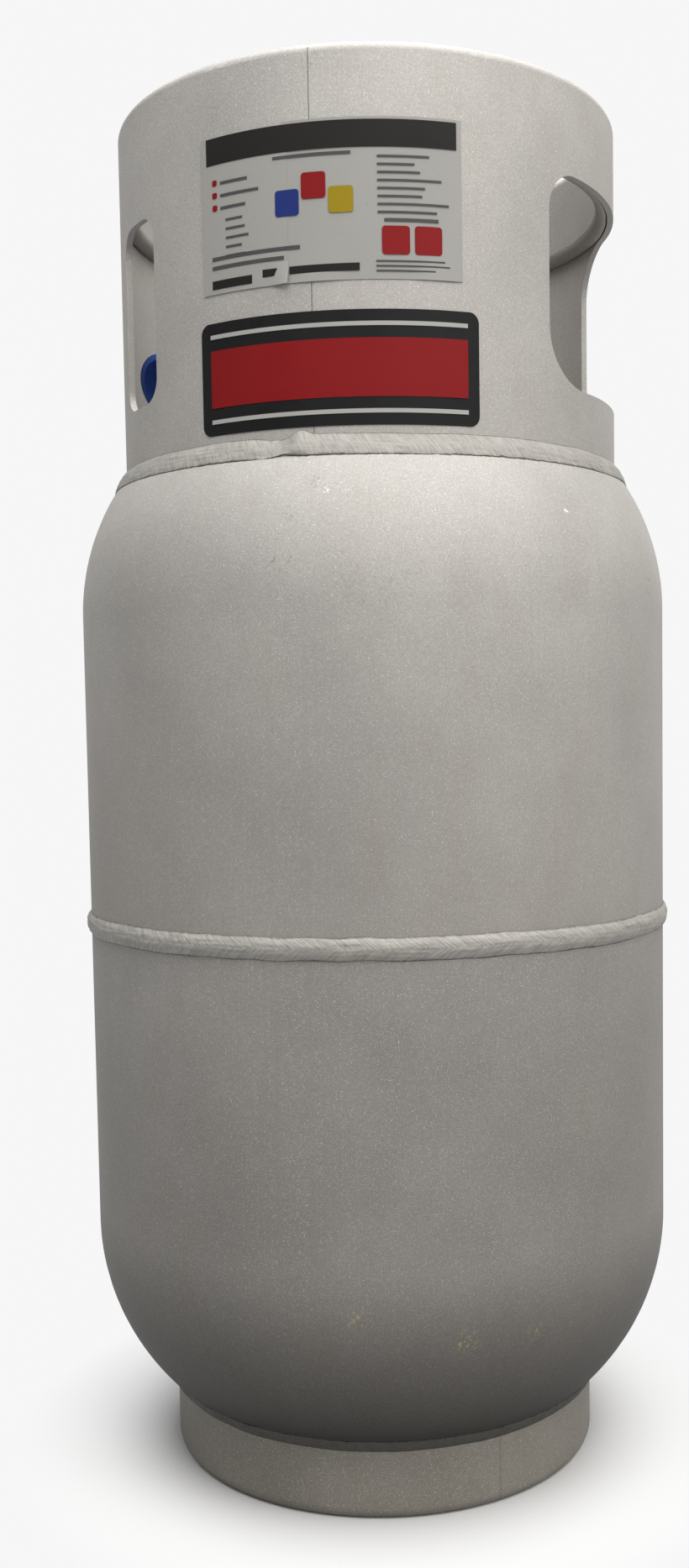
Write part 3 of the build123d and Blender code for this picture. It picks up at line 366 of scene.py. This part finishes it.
def weld_metal(name, tone, lean, chevron=False):
    """Pale weld metal: swept ripples, soot in their hollows, toes darkened raggedly as painted shade in
    the crease against the metal, brown scale in places.
    """
    s = Shader(name)
    s.set(Metallic=0.2, IOR=1.45, Specular_IOR_Level=0.15)
    x, y, _ = s.separate()
    angle = s.math("ARCTAN2", x, s.math("MULTIPLY", y, -1.0))
    across = s.add("ShaderNodeAttribute", attribute_name="across").outputs["Fac"]
    swept = s.math("ABSOLUTE", across) if chevron else across
    along = s.math("MULTIPLY_ADD", angle, TANK_R * 1000, s.math("MULTIPLY", swept, lean))
    streaked = s.add("ShaderNodeCombineXYZ")
    s.link(along, streaked.inputs[0])
    s.link(s.math("MULTIPLY", across, 1.1), streaked.inputs[1])
    streak = s.noise(0.75, 4, 0.6, vector=streaked.outputs[0])
    crust = s.noise(260.0, 4, 0.6)
    mottle = s.noise(45.0, 4, 0.6)
    # painted shade: the bead's toes darken raggedly where they meet the metal, as in a crease
    toe = s.math("ABSOLUTE", across)
    ragged = s.math("MULTIPLY_ADD", s.noise(330.0, 3, 0.7), 0.24, s.math("SUBTRACT", toe, 0.12))
    colour = s.mix(s.ramp(mottle, 0.35, 0.7), tinted(tone, 0.86), tone)
    colour = s.mix(s.ramp(streak, 0.38, 0.60, 0.75, 0.0), colour, tinted(tone, 0.62))
    colour = s.mix(s.ramp(crust, 0.58, 0.78, 0.0, 0.4), colour, tinted(tone, 0.6))
    colour = s.mix(s.ramp(s.noise(16.0, 5, 0.7), 0.60, 0.72, 0.0, 0.30), colour, SCALE_BROWN)
    colour = s.mix(s.ramp(ragged, 0.86, 1.0, 0.0, 0.85), colour, tinted(tone, 0.18))
    normal = s.bump(streak, 0.5, 0.0009, s.bump(crust, 0.2, 0.0003))
    return s.finish(colour, s.ramp(mottle, 0.3, 0.7, 0.55, 0.7), normal)


weld_girth = weld_metal("weld_metal_girth", (0.29, 0.28, 0.258), 7.0, chevron=True)
weld_collar = weld_metal("weld_metal_collar", (0.25, 0.241, 0.222), -4.0)
weld_foot = weld_metal("weld_metal_foot", (0.075, 0.071, 0.064), -4.0)
weld_boss = weld_metal("weld_metal_boss", (0.27, 0.26, 0.24), 3.0)


def machined(name, tone, roughness=0.34, metallic=1.0):
    """Turned metal, dulled by handling: circular tool lines, fingerprints, tarnish in patches."""
    s = Shader(name)
    s.set(Metallic=metallic)
    lines = s.noise(1500.0, 2, 0.5, vector=s.mapped((0.05, 0.05, 1)))
    tarnish = s.noise(70.0, 5, 0.65)
    colour = s.mix(s.ramp(tarnish, 0.4, 0.7), tone, tinted(tone, 0.58))
    rough = s.ramp(tarnish, 0.3, 0.7, roughness - 0.08, roughness + 0.18)
    return s.finish(colour, rough, s.bump(lines, 0.15, 0.0002))


brass = machined("brass", (0.45, 0.305, 0.13))
steel = machined("zinc_steel", (0.36, 0.36, 0.365), 0.30)
copper = machined("copper_tube", (0.40, 0.23, 0.14))


def moulded(name, tone, roughness=0.42, scatter=0.0):
    """Moulded plastic: slight orange peel, scuffs and dust in the hollows."""
    s = Shader(name)
    s.set(IOR=1.48)
    if scatter:
        s.set(Subsurface_Weight=scatter, Subsurface_Scale=0.002)
    dust = s.noise(110.0, 5, 0.7)
    scuff = s.noise(330.0, 3, 0.6, vector=s.mapped((1, 1, 0.2)))
    colour = s.mix(s.ramp(dust, 0.52, 0.78, 0.0, 0.35), tone, tuple(0.6 * c + 0.16 for c in tone))
    colour = s.mix(s.ramp(scuff, 0.6, 0.75, 0.0, 0.3), colour, tinted(tone, 0.7))
    rough = s.ramp(dust, 0.3, 0.75, roughness - 0.06, roughness + 0.2)
    return s.finish(colour, rough, s.bump(s.noise(1200.0, 2, 0.5), 0.12, 0.0002))


# painted light: blue_plastic is a lighter copy of the handwheel's blue plastic, making up for the shade
# on the cap seen through the collar slot
blue_plastic = moulded("blue_plastic", (0.055, 0.135, 0.48), 0.36)
blue_handwheel = moulded("blue_handwheel", (0.026, 0.062, 0.24), 0.40)
white_plastic = moulded("white_plastic", (0.40, 0.40, 0.385))
nylon = moulded("nylon", (0.74, 0.69, 0.54), 0.45, 0.1)
red_plastic = moulded("red_plastic", (0.55, 0.035, 0.03), 0.3)
rubber = moulded("black_rubber", (0.022, 0.022, 0.023), 0.62)


def clear_lens():
    s = Shader("clear_lens")
    s.set(Transmission_Weight=1.0, IOR=1.49)
    haze = s.noise(60.0, 4, 0.6)
    colour = s.mix(s.ramp(haze, 0.4, 0.8), (0.95, 0.97, 0.97), (0.84, 0.86, 0.84))
    return s.finish(colour, s.ramp(haze, 0.3, 0.8, 0.04, 0.22), s.bump(s.noise(300.0, 2), 0.04, 0.0002))


SLOT_MATERIAL = {
    "aluminium": aluminium_part,
    "weld": weld_boss,
    "foot": aluminium_foot,
    "brass": brass,
    "steel": steel,
    "rubber": rubber,
    "blue_plastic": blue_plastic,
    "white_plastic": white_plastic,
    "nylon": nylon,
    "red_plastic": red_plastic,
    "clear": clear_lens(),
    "copper": copper,
}
for subpart in frame["record"]["subparts"]:
    paint([subpart["node"]], SLOT_MATERIAL[subpart["material_slot"]])
paint(["upper_shell"], aluminium_upper)
paint(["lower_shell"], aluminium_lower)
paint(["collar"], aluminium_collar)
paint(["foot_ring"], aluminium_foot)
paint(["handwheel"], blue_handwheel)


# ---------------------------------------------------------------- mesh helpers
BEAD_STEPS = 18


def new_piece(name, verts, faces, material, smooth=True):
    mesh = bpy.data.meshes.new(name)
    mesh.from_pydata([tuple(v) for v in verts], [], faces)
    mesh.update()
    if smooth:
        mesh.polygons.foreach_set("use_smooth", [True] * len(mesh.polygons))
    mesh.materials.append(material)
    piece = bpy.data.objects.new(name, mesh)
    scene.collection.objects.link(piece)
    return piece


def swept_ring(name, columns, profile, material):
    """Closed ring: profile(angle) gives (radius, height) points round a closed section."""
    verts, faces = [], []
    for column in range(columns):
        angle = 360.0 * column / columns
        for radius, height in profile(angle):
            verts.append(bearing(angle, radius, height))
    rows = len(verts) // columns
    for column in range(columns):
        here, there = column * rows, (column + 1) % columns * rows
        for row in range(rows):
            after = (row + 1) % rows
            faces.append((here + row, there + row, there + after, here + after))
    piece = new_piece(name, verts, faces, material)
    across = piece.data.attributes.new("across", "FLOAT", "POINT")
    positions = [2 * (index % rows) / BEAD_STEPS - 1 for index in range(len(verts))]
    across.data.foreach_set("value", positions)
    return piece


# ---------------------------------------------------------------- welds
def ripple(angle, lag, pitch, depth, seed):
    """Overlapping weld ripples, swept back by lag degrees, stronger in some stretches than others."""
    jitter = 0.45 * pitch * noise.noise(Vector((angle * 0.9, seed, lag * 0.6)))
    phase = ((angle - lag + jitter) / pitch) % 1.0
    lobe = 1 - abs(2 * phase - 1) ** 1.4
    strength = 0.45 + 0.9 * max(0.0, 0.4 + noise.noise(Vector((angle * 0.16, seed * 2.0, lag * 0.3))))
    return depth * strength * (lobe - 0.5)


def surface_noise(angle, height, scale, seed):
    spot = bearing(angle, 1.0, height * 6)
    return noise.noise(spot * scale + Vector((seed, 0, 0)))


GIRTH_HALF = (girth_high.z - girth_low.z) / 2
GIRTH_PROUD = girth_high.x - TANK_R
GIRTH_SINK = 0.0003
GIRTH_ROOT = 0.003


def girth_profile(angle):
    drift = 0.0007 * surface_noise(angle, 0.0, 3.0, 4.0) + 0.0004 * surface_noise(angle, 0.0, 11.0, 9.0)
    points = []
    for step in range(BEAD_STEPS + 1):
        across = 2 * step / BEAD_STEPS - 1
        edge = 0.0005 * surface_noise(angle, across, 14.0, 2.0) * abs(across)
        edge_fade = 1 - across**4
        crown = GIRTH_PROUD * 0.9 * (1 - abs(across) ** 2.3)
        proud = crown + edge_fade * ripple(angle, 3.9 * abs(across) ** 0.8, 0.85, 0.00034, 3.0)
        proud += edge_fade * 0.00045 * surface_noise(angle, across * 0.5, 9.0, 7.0)
        proud += edge_fade * 0.00018 * surface_noise(angle, across, 60.0, 5.0)
        radius = TANK_R + max(min(proud, GIRTH_PROUD), -GIRTH_SINK)
        points.append((radius, GIRTH_Z + across * GIRTH_HALF + drift + edge))
    points.append((TANK_R - GIRTH_ROOT, GIRTH_Z + GIRTH_HALF * 0.6))
    points.append((TANK_R - GIRTH_ROOT, GIRTH_Z - GIRTH_HALF * 0.6))
    return points


girth = swept_ring("girth_bead", 1400, girth_profile, weld_girth)
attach(girth, "tank")
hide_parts("girth_weld")


def part_up(across):
    """1 at a bead's upper toe, fading to nothing at its middle."""
    return max(-across, 0.0)


def fillet_profile(sheet_r, toe_z, head_r, head_z, bulge, pitch, seed, depth, lap=None):
    """Section of a fillet bead between a sheet ring and a head, from its toe to its far edge."""

    def profile(angle):
        points = []
        wander = 0.0006 * surface_noise(angle, 0.0, 5.0, seed)
        out = Vector((head_z - toe_z, 0, -(head_r - sheet_r)))
        side = 1.0 if out.x < 0 else -1.0
        normal = Vector((abs(out.x), 0, abs(head_r - sheet_r) * side)).normalized()
        for step in range(BEAD_STEPS + 1):
            part = step / BEAD_STEPS
            across = 2 * part - 1
            radius = sheet_r + (head_r - sheet_r) * part
            height = toe_z + (head_z - toe_z) * part
            edge_fade = 1 - across**4
            rise = bulge * (1 - across * across)
            rise += edge_fade * ripple(angle, -2.6 * across, pitch, depth, seed)
            rise += edge_fade * 0.0004 * surface_noise(angle, across * 0.5, 12.0, seed + 5)
            ragged = surface_noise(angle, across, 40.0, seed + 2)
            ragged += surface_noise(angle, across, 110.0, seed + 3)
            edge = 0.0005 * ragged * max(across, 0.0) ** 3
            if lap is not None:
                past = (angle - lap + 180) % 360 - 180
                tongue = exp(-((past / 2.0) ** 2))
                tail = exp(-(((past + 5.0) / 3.2) ** 2))
                rise += edge_fade * (0.0011 * tongue - 0.0007 * tail)
                edge += 0.0026 * tongue * part_up(across) - 0.0016 * tail * part_up(across)
                edge += 0.0014 * exp(-(((past + 2.5) / 2.4) ** 2)) * max(across, 0.0)
            points.append((radius + normal.x * rise, height + normal.z * rise + wander + edge))
        points.append((head_r - 0.006, head_z - side * 0.003))
        points.append((sheet_r - 0.001, (toe_z + head_z) / 2 - side * 0.004))
        return points

    return profile


collar_bead = swept_ring(
    "collar_bead",
    1300,
    fillet_profile(COLLAR_R, 0.5364, 0.1400, 0.5254, 0.0011, 0.62, 11.0, 0.00032, lap=0.6),
    weld_collar,
)
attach(collar_bead, "tank")
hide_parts("collar_weld")

foot_bead = swept_ring(
    "foot_bead",
    1100,
    fillet_profile(FOOT_R, 0.0360, 0.1222, 0.0434, 0.0006, 0.9, 17.0, 0.00026),
    weld_foot,
)
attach(foot_bead, "tank")
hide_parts("foot_weld")


# ---------------------------------------------------------------- labels
STICKER_LIFT = 0.00018
PRINT_STEP = 0.00006
DEGREE_LENGTH = radians(1) * COLLAR_R


def strip(first, last, low, high, lift, corner=0.0, curl=None):
    """Patch of sheet on the collar.

    first and last are degrees right of the camera's side, low and high are heights, lift is the
    distance off the metal and corner is a radius.
    """
    width = (last - first) * DEGREE_LENGTH
    columns = max(int((last - first) / 0.5), 2)
    rows = 14 if curl else 2
    marks = [column / columns for column in range(columns + 1)]
    if corner:
        rounded = [corner / width * (1 - cos(radians(step * 11.25))) for step in range(9)]
        middle = [mark for mark in marks if 0.12 < mark < 0.88]
        marks = sorted(set(rounded + [1 - mark for mark in rounded] + middle))
    verts, faces = [], []
    for mark in marks:
        edge = min(mark, 1 - mark) * width
        inset = corner - sqrt(max(corner**2 - max(corner - edge, 0) ** 2, 0)) if corner else 0.0
        for row in range(rows + 1):
            part = row / rows
            height = low + inset + (high - low - 2 * inset) * part
            angle = first + (last - first) * mark
            raised = curl(mark, part) if curl else 0.0
            verts.append(bearing(to_view(angle), COLLAR_R + lift + raised, height))
    for column in range(len(marks) - 1):
        for row in range(rows):
            here = column * (rows + 1) + row
            faces.append((here, here + rows + 1, here + rows + 2, here + 1))
    return verts, faces


def sheet_piece(name, patches, material, thickness=PRINT_STEP):
    """One mesh from several patches."""
    verts, faces = [], []
    for patch_verts, patch_faces in patches:
        start = len(verts)
        verts += patch_verts
        faces += [tuple(start + index for index in face) for face in patch_faces]
    piece = new_piece(name, verts, faces, material, smooth=False)
    solid = piece.modifiers.new("thickness", "SOLIDIFY")
    solid.thickness = thickness
    solid.offset = 1.0
    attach(piece, "tank")
    return piece


def printed(name, tone, roughness, wear):
    """Printed vinyl: faint mottling, fading, rubbed spots and dirt in specks."""
    s = Shader(name)
    s.set(IOR=1.45, Specular_IOR_Level=0.12)
    fade = s.noise(38.0, 4, 0.6)
    rub = s.noise(420.0, 4, 0.7)
    pale = tuple(0.85 * c + 0.03 for c in tone)
    colour = s.mix(s.ramp(fade, 0.35, 0.8, 0.0, wear), tone, pale)
    colour = s.mix(s.ramp(rub, 0.62, 0.74, 0.0, 0.55), colour, tuple(c * 0.75 + 0.008 for c in tone))
    rough = s.ramp(fade, 0.3, 0.7, roughness - 0.08, roughness + 0.12)
    return s.finish(colour, rough, s.bump(s.noise(180.0, 3, 0.5), 0.08, 0.0003))


vinyl_white = printed("vinyl_white", (0.200, 0.196, 0.184), 0.6, 0.2)
ink_black = printed("ink_black", (0.008, 0.0075, 0.007), 0.6, 0.05)
ink_grey = printed("ink_grey", (0.040, 0.040, 0.040), 0.6, 0.2)
ink_red = printed("ink_red", (0.130, 0.0030, 0.0040), 0.55, 0.03)
ink_blue = printed("ink_blue", (0.007, 0.016, 0.095), 0.5, 0.06)
ink_yellow = printed("ink_yellow", (0.175, 0.125, 0.004), 0.55, 0.06)
decal_black = printed("decal_black", (0.006, 0.006, 0.0065), 0.5, 0.04)
decal_white = printed("decal_white", (0.23, 0.225, 0.215), 0.5, 0.15)

STICKER_FIRST = -36.0
STICKER_JOIN = -16.0
STICKER_LAST = 19.5
STICKER_LOW = 0.6065
STICKER_HIGH = 0.6800
STICKER_SHEET = 0.00010


def peeled(mark, part):
    """The left sheet's lower corner has let go of the metal."""
    near = max(0.0, 1 - hypot((1 - mark) * 4.5, part * 7.0))
    return 0.0020 * near**1.5


def wrinkled(mark, part):
    low_edge = max(0.0, 1 - part * 4)
    return 0.00035 * low_edge * max(0.0, sin(mark * 9.0))


sheet_piece(
    "sticker_right",
    [strip(STICKER_JOIN - 1, STICKER_LAST, STICKER_LOW, STICKER_HIGH, STICKER_LIFT, curl=wrinkled)],
    vinyl_white,
    STICKER_SHEET,
)
left_low, left_high = STICKER_LOW - 0.0002, STICKER_HIGH - 0.0012
sheet_piece(
    "sticker_left",
    [strip(STICKER_FIRST, STICKER_JOIN, left_low, left_high, STICKER_LIFT + 0.00014, curl=peeled)],
    vinyl_white,
    STICKER_SHEET,
)
PRINT_LIFT = STICKER_LIFT + 0.00034

sheet_piece("sticker_band", [strip(-34.6, 18.4, 0.6662, 0.6786, PRINT_LIFT)], ink_black)

# columns of blank bars: left edge, lengths, top of the first bar, pitch, thickness
BAR_COLUMNS = [
    (-31.2, (6.5, 9.0, 6.0), 0.6580, 0.0058, 0.0014),
    (-30.0, (4.0, 4.6, 5.4, 3.8, 4.6), 0.6405, 0.0042, 0.0011),
    (-33.5, (20.0, 16.6), 0.6235, 0.0042, 0.0018),
    (2.2, (10.5, 7.5, 8.6, 13.0, 9.6, 9.0, 14.5, 12.0), 0.6625, 0.0036, 0.0010),
    (1.8, (14.0, 15.0, 12.0), 0.6150, 0.0022, 0.0007),
]
bars = []
for left, lengths, first_top, pitch, thick in BAR_COLUMNS:
    for row, length in enumerate(lengths):
        top = first_top - row * pitch
        bars.append(strip(left, left + length, top - thick, top, PRINT_LIFT))
bars.append(strip(3.5, 14.5, 0.6325, 0.6340, PRINT_LIFT))
bars.append(strip(-19.0, -3.0, 0.6632, 0.6646, PRINT_LIFT))
sheet_piece("sticker_bars", bars, ink_grey)
sheet_piece("sticker_footer", [
    strip(-33.6, -24.0, 0.6085, 0.6125, PRINT_LIFT),
    strip(-21.6, -18.4, 0.6105, 0.6140, PRINT_LIFT),
    strip(-15.8, -1.5, 0.6105, 0.6140, PRINT_LIFT),
], ink_black)

BLOCK_CORNER = 0.0016


def block(first, last, low, high):
    return strip(first, last, low, high, PRINT_LIFT, corner=BLOCK_CORNER)


sheet_piece("sticker_block_blue", [block(-18.6, -13.6, 0.6370, 0.6490)], ink_blue)
sheet_piece("sticker_block_red", [
    block(-13.1, -8.1, 0.6440, 0.6560),
    block(3.0, 8.6, 0.6176, 0.6306),
    block(9.6, 15.2, 0.6176, 0.6306),
], ink_red)
sheet_piece("sticker_block_yellow", [block(-7.6, -2.6, 0.6370, 0.6490)], ink_yellow)
MARK_DROPS = [row * 0.0058 for row in range(3)]
sheet_piece("sticker_marks", [
    strip(-33.2, -32.0, 0.6564 - drop, 0.6592 - drop, PRINT_LIFT, corner=0.0008) for drop in MARK_DROPS
], ink_red)

# plain striped decal: a black panel with a red band between two pale pinstripes
DECAL_LIFT = 0.00020
DECAL_SHEET = 0.00012
DECAL_PRINT = DECAL_LIFT + 0.00022
DECAL_PANEL = strip(-37.0, 23.0, 0.5400, 0.5930, DECAL_LIFT, corner=0.0050)
sheet_piece("decal_backing", [DECAL_PANEL], decal_black, DECAL_SHEET)
sheet_piece("decal_pinstripes", [
    strip(-34.5, 20.5, 0.5455, 0.5475, DECAL_PRINT),
    strip(-34.5, 20.5, 0.5855, 0.5875, DECAL_PRINT),
], decal_white)
sheet_piece("decal_band", [strip(-34.5, 20.5, 0.5530, 0.5800, DECAL_PRINT)], ink_red)


# ---------------------------------------------------------------- threaded and hexagonal parts
ACME_PITCH = 0.00508
ACME_DEPTH = 0.0021
LATHE_COLUMNS = 96
MOUTH_BEVEL = 0.0008


def lathe(name, place, section, material, body, node):
    """Closed solid of turned section: section(angle) gives (radius, distance along) points."""
    verts, faces = [], []
    for column in range(LATHE_COLUMNS):
        angle = 360.0 * column / LATHE_COLUMNS
        for radius, along in section(angle):
            verts.append(place(radians(angle), radius, along))
    rows = len(verts) // LATHE_COLUMNS
    for column in range(LATHE_COLUMNS):
        here, there = column * rows, (column + 1) % LATHE_COLUMNS * rows
        for row in range(rows):
            after = (row + 1) % rows
            faces.append((here + row, there + row, there + after, here + after))
    piece = new_piece(name, verts, faces, material, smooth=False)
    mesh = bmesh.new()
    mesh.from_mesh(piece.data)
    bmesh.ops.recalc_face_normals(mesh, faces=mesh.faces)
    mesh.to_mesh(piece.data)
    mesh.free()
    bpy.context.view_layer.objects.active = piece
    piece.select_set(True)
    bpy.ops.object.shade_smooth_by_angle(angle=radians(32))
    piece.select_set(False)
    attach(piece, body)
    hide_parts(node)
    return piece


def along_x(centre):
    def place(turn, radius, along):
        return centre + Vector((along, radius * cos(turn), radius * sin(turn)))

    return place


def along_z(centre):
    def place(turn, radius, along):
        return centre + Vector((radius * cos(turn), radius * sin(turn), along))

    return place


def hexagon_radius(angle, flats, chamfer):
    """Distance to a hexagon's edge, no further than its chamfer circle."""
    return min(flats / 2 / cos(radians((angle + 30) % 60 - 30)), chamfer)


def hexagon_rows(angle, flats, low, high):
    corner = flats / 2 / cos(radians(30))
    bevel = 0.0008
    return [
        (hexagon_radius(angle, flats, flats / 2 * 1.01), low),
        (hexagon_radius(angle, flats, corner * 0.985), low + bevel),
        (hexagon_radius(angle, flats, corner * 0.985), high - bevel),
        (hexagon_radius(angle, flats, flats / 2 * 1.01), high),
    ]


def thread_rows(angle, radius, low, high, step=0.00042):
    """Helical trapezoid thread between two distances, run out at both ends."""
    rows = []
    count = int((high - low) / step)
    for row in range(count + 1):
        along = low + (high - low) * row / count
        phase = (along / ACME_PITCH - angle / 360) % 1.0
        groove = min(max((abs(2 * phase - 1) - 0.37) / 0.26, 0.0), 1.0)
        fade = min(1.0, (along - low) / 0.0012)
        lead = max(0.0, 1 - (high - along) / 0.0014) * 0.0012
        rows.append((radius - ACME_DEPTH * groove * fade - lead, along))
    return rows


outlet_low, outlet_high = size_of("outlet_coupling")
outlet_middle = (outlet_low + outlet_high) / 2
OUTLET_CENTRE = Vector((outlet_low.x, outlet_middle.y, outlet_middle.z))
OUTLET_END = outlet_high.x - outlet_low.x
OUTLET_HEX_START = 0.009
OUTLET_HEX_END = 0.016
OUTLET_FLATS = 0.034
OUTLET_NECK_R = 0.0136
OUTLET_BORE_R = 0.0100
OUTLET_PASSAGE_R = 0.0046
ACME_R = frame["record"]["mounts"][1]["dims"]["r_mm"] / 1000


def outlet_section(angle):
    rows = hexagon_rows(angle, OUTLET_FLATS, OUTLET_HEX_START, OUTLET_HEX_END)
    rows += [(OUTLET_NECK_R, OUTLET_HEX_END + 0.0001), (OUTLET_NECK_R, OUTLET_HEX_END + 0.0012)]
    rows += thread_rows(angle, ACME_R, OUTLET_HEX_END + 0.0013, OUTLET_END)
    rows += [(OUTLET_BORE_R + MOUTH_BEVEL, OUTLET_END), (OUTLET_BORE_R, OUTLET_END - MOUTH_BEVEL)]
    rows += [(OUTLET_BORE_R, OUTLET_END - 0.0096), (OUTLET_PASSAGE_R, OUTLET_END - 0.0100)]
    rows += [(OUTLET_PASSAGE_R, OUTLET_HEX_START)]
    return rows


lathe("outlet_thread", along_x(OUTLET_CENTRE), outlet_section, brass, "tank", "outlet_coupling")

fill_low, fill_high = size_of("fill_valve_body")
fill_middle = (fill_low + fill_high) / 2
FILL_CENTRE = Vector((fill_middle.x, fill_middle.y, size_of("fill_boss")[1].z))
FILL_TOP = fill_high.z - FILL_CENTRE.z
FILL_FOOT = 0.0001
FILL_HEX_END = 0.011
FILL_FLATS = 0.038
FILL_NECK_R = 0.0144
FILL_BORE_R = 0.0110
FILL_BORE_END = 0.0300
FILL_PASSAGE_R = 0.0070


def fill_section(angle):
    rows = hexagon_rows(angle, FILL_FLATS, FILL_FOOT, FILL_HEX_END)
    rows += [(FILL_NECK_R, FILL_HEX_END + 0.0001), (FILL_NECK_R, FILL_HEX_END + 0.0050)]
    rows += thread_rows(angle, ACME_R, FILL_HEX_END + 0.0052, FILL_TOP)
    rows += [(FILL_BORE_R + MOUTH_BEVEL, FILL_TOP), (FILL_BORE_R, FILL_TOP - MOUTH_BEVEL)]
    rows += [(FILL_BORE_R, FILL_BORE_END), (FILL_PASSAGE_R, FILL_BORE_END - 0.0002)]
    rows += [(FILL_PASSAGE_R, FILL_FOOT)]
    return rows


lathe("fill_thread", along_z(FILL_CENTRE), fill_section, brass, "tank", "fill_valve_body")


# ---------------------------------------------------------------- gauge dial marks
dial_low, dial_high = size_of("gauge_dial")
DIAL = Vector(((dial_low.x + dial_high.x) / 2, (dial_low.y + dial_high.y) / 2, dial_high.z))
DIAL_MARKS = 13
DIAL_FIRST = -60
DIAL_STEP = 10
mark_verts, mark_faces = [], []
for mark in range(DIAL_MARKS):
    turn_angle = radians(DIAL_FIRST + mark * DIAL_STEP)
    long_mark = mark % 3 == 0
    out = Vector((cos(turn_angle), sin(turn_angle), 0))
    side = Vector((-out.y, out.x, 0)) * (0.00035 if long_mark else 0.0002)
    inner, outer = (0.0125, 0.0165) if long_mark else (0.0142, 0.0165)
    first = len(mark_verts)
    for lift in (0.00003, 0.00015):
        for reach, edge in ((inner, -side), (outer, -side), (outer, side), (inner, side)):
            mark_verts.append(DIAL + out * reach + edge + Vector((0, 0, lift)))
    top, low = [first + 4 + index for index in range(4)], [first + index for index in range(4)]
    mark_faces += [tuple(top), tuple(reversed(low))]
    mark_faces += [(low[i], low[(i + 1) % 4], top[(i + 1) % 4], top[i]) for i in range(4)]
dial_marks = new_piece("dial_marks", mark_verts, mark_faces, rubber, smooth=False)
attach(dial_marks, "tank")


# ---------------------------------------------------------------- stage
BACKDROP = 0.925
FLOOR_SIZE = 12
SHADOW_INNER = 0.118
SHADOW_OUTER = 0.215
DIM_SIDE = -62
DIMMEST = 0.42


def add_floor():
    bpy.ops.mesh.primitive_plane_add(size=FLOOR_SIZE, location=(0, 0, 0))
    plane = bpy.context.object
    plane.name = "floor"
    s = Shader("floor")
    s.set(Roughness=0.9, Specular_IOR_Level=0.0, Emission_Color=(BACKDROP, BACKDROP, BACKDROP, 1))
    x, y, _ = s.separate()
    radius = s.math("SQRT", s.math("ADD", s.math("MULTIPLY", x, x), s.math("MULTIPLY", y, y)))
    # painted shadow: within SHADOW_INNER the floor does not glow and stays plain grey, a soft contact
    # shadow round the base; by SHADOW_OUTER it glows evenly at the backdrop's brightness
    glow = s.ramp(radius, SHADOW_INNER, SHADOW_OUTER)
    s.link(glow, s.bsdf.inputs["Emission Strength"])
    colour = s.mix(glow, s.mix(s.noise(3.0, 2), (0.50, 0.50, 0.50), (0.54, 0.54, 0.54)), (0, 0, 0))
    plane.data.materials.append(s.finish(colour))


add_floor()

world = bpy.data.worlds.new("world")
scene.world = world
world.use_nodes = True
backdrop = world.node_tree.nodes["Background"]
backdrop.inputs[0].default_value = (1, 1, 1, 1)
direction = world.node_tree.nodes.new("ShaderNodeTexCoord")
toward_dim_side = world.node_tree.nodes.new("ShaderNodeVectorMath")
toward_dim_side.operation = "DOT_PRODUCT"
toward_dim_side.inputs[1].default_value = bearing(to_view(DIM_SIDE))
dimming = world.node_tree.nodes.new("ShaderNodeMapRange")
for socket, value in (("From Min", -0.2), ("From Max", 0.9), ("To Min", BACKDROP), ("To Max", DIMMEST)):
    dimming.inputs[socket].default_value = value
world.node_tree.links.new(direction.outputs["Generated"], toward_dim_side.inputs[0])
world.node_tree.links.new(toward_dim_side.outputs["Value"], dimming.inputs["Value"])
world.node_tree.links.new(dimming.outputs["Result"], backdrop.inputs[1])


def area_light(name, view_angle, distance, height, size, power, target_height, tint=(1, 1, 1)):
    data = bpy.data.lights.new(name, "AREA")
    data.shape = "RECTANGLE"
    data.size, data.size_y = size
    data.energy = power
    data.color = tint
    lamp = bpy.data.objects.new(name, data)
    scene.collection.objects.link(lamp)
    lamp.location = bearing(to_view(view_angle), distance, height)
    aim = Vector((0, 0, target_height)) - lamp.location
    lamp.rotation_euler = aim.to_track_quat("-Z", "Y").to_euler()


area_light(
    "key",
    view_angle=32,
    distance=1.7,
    height=1.9,
    size=(1.5, 1.5),
    power=33,
    target_height=0.55,
    tint=(1.0, 0.96, 0.90),
)
area_light("top", view_angle=4, distance=0.36, height=1.9, size=(1.7, 1.7), power=66, target_height=0.5)

scene.view_settings.view_transform = "Standard"
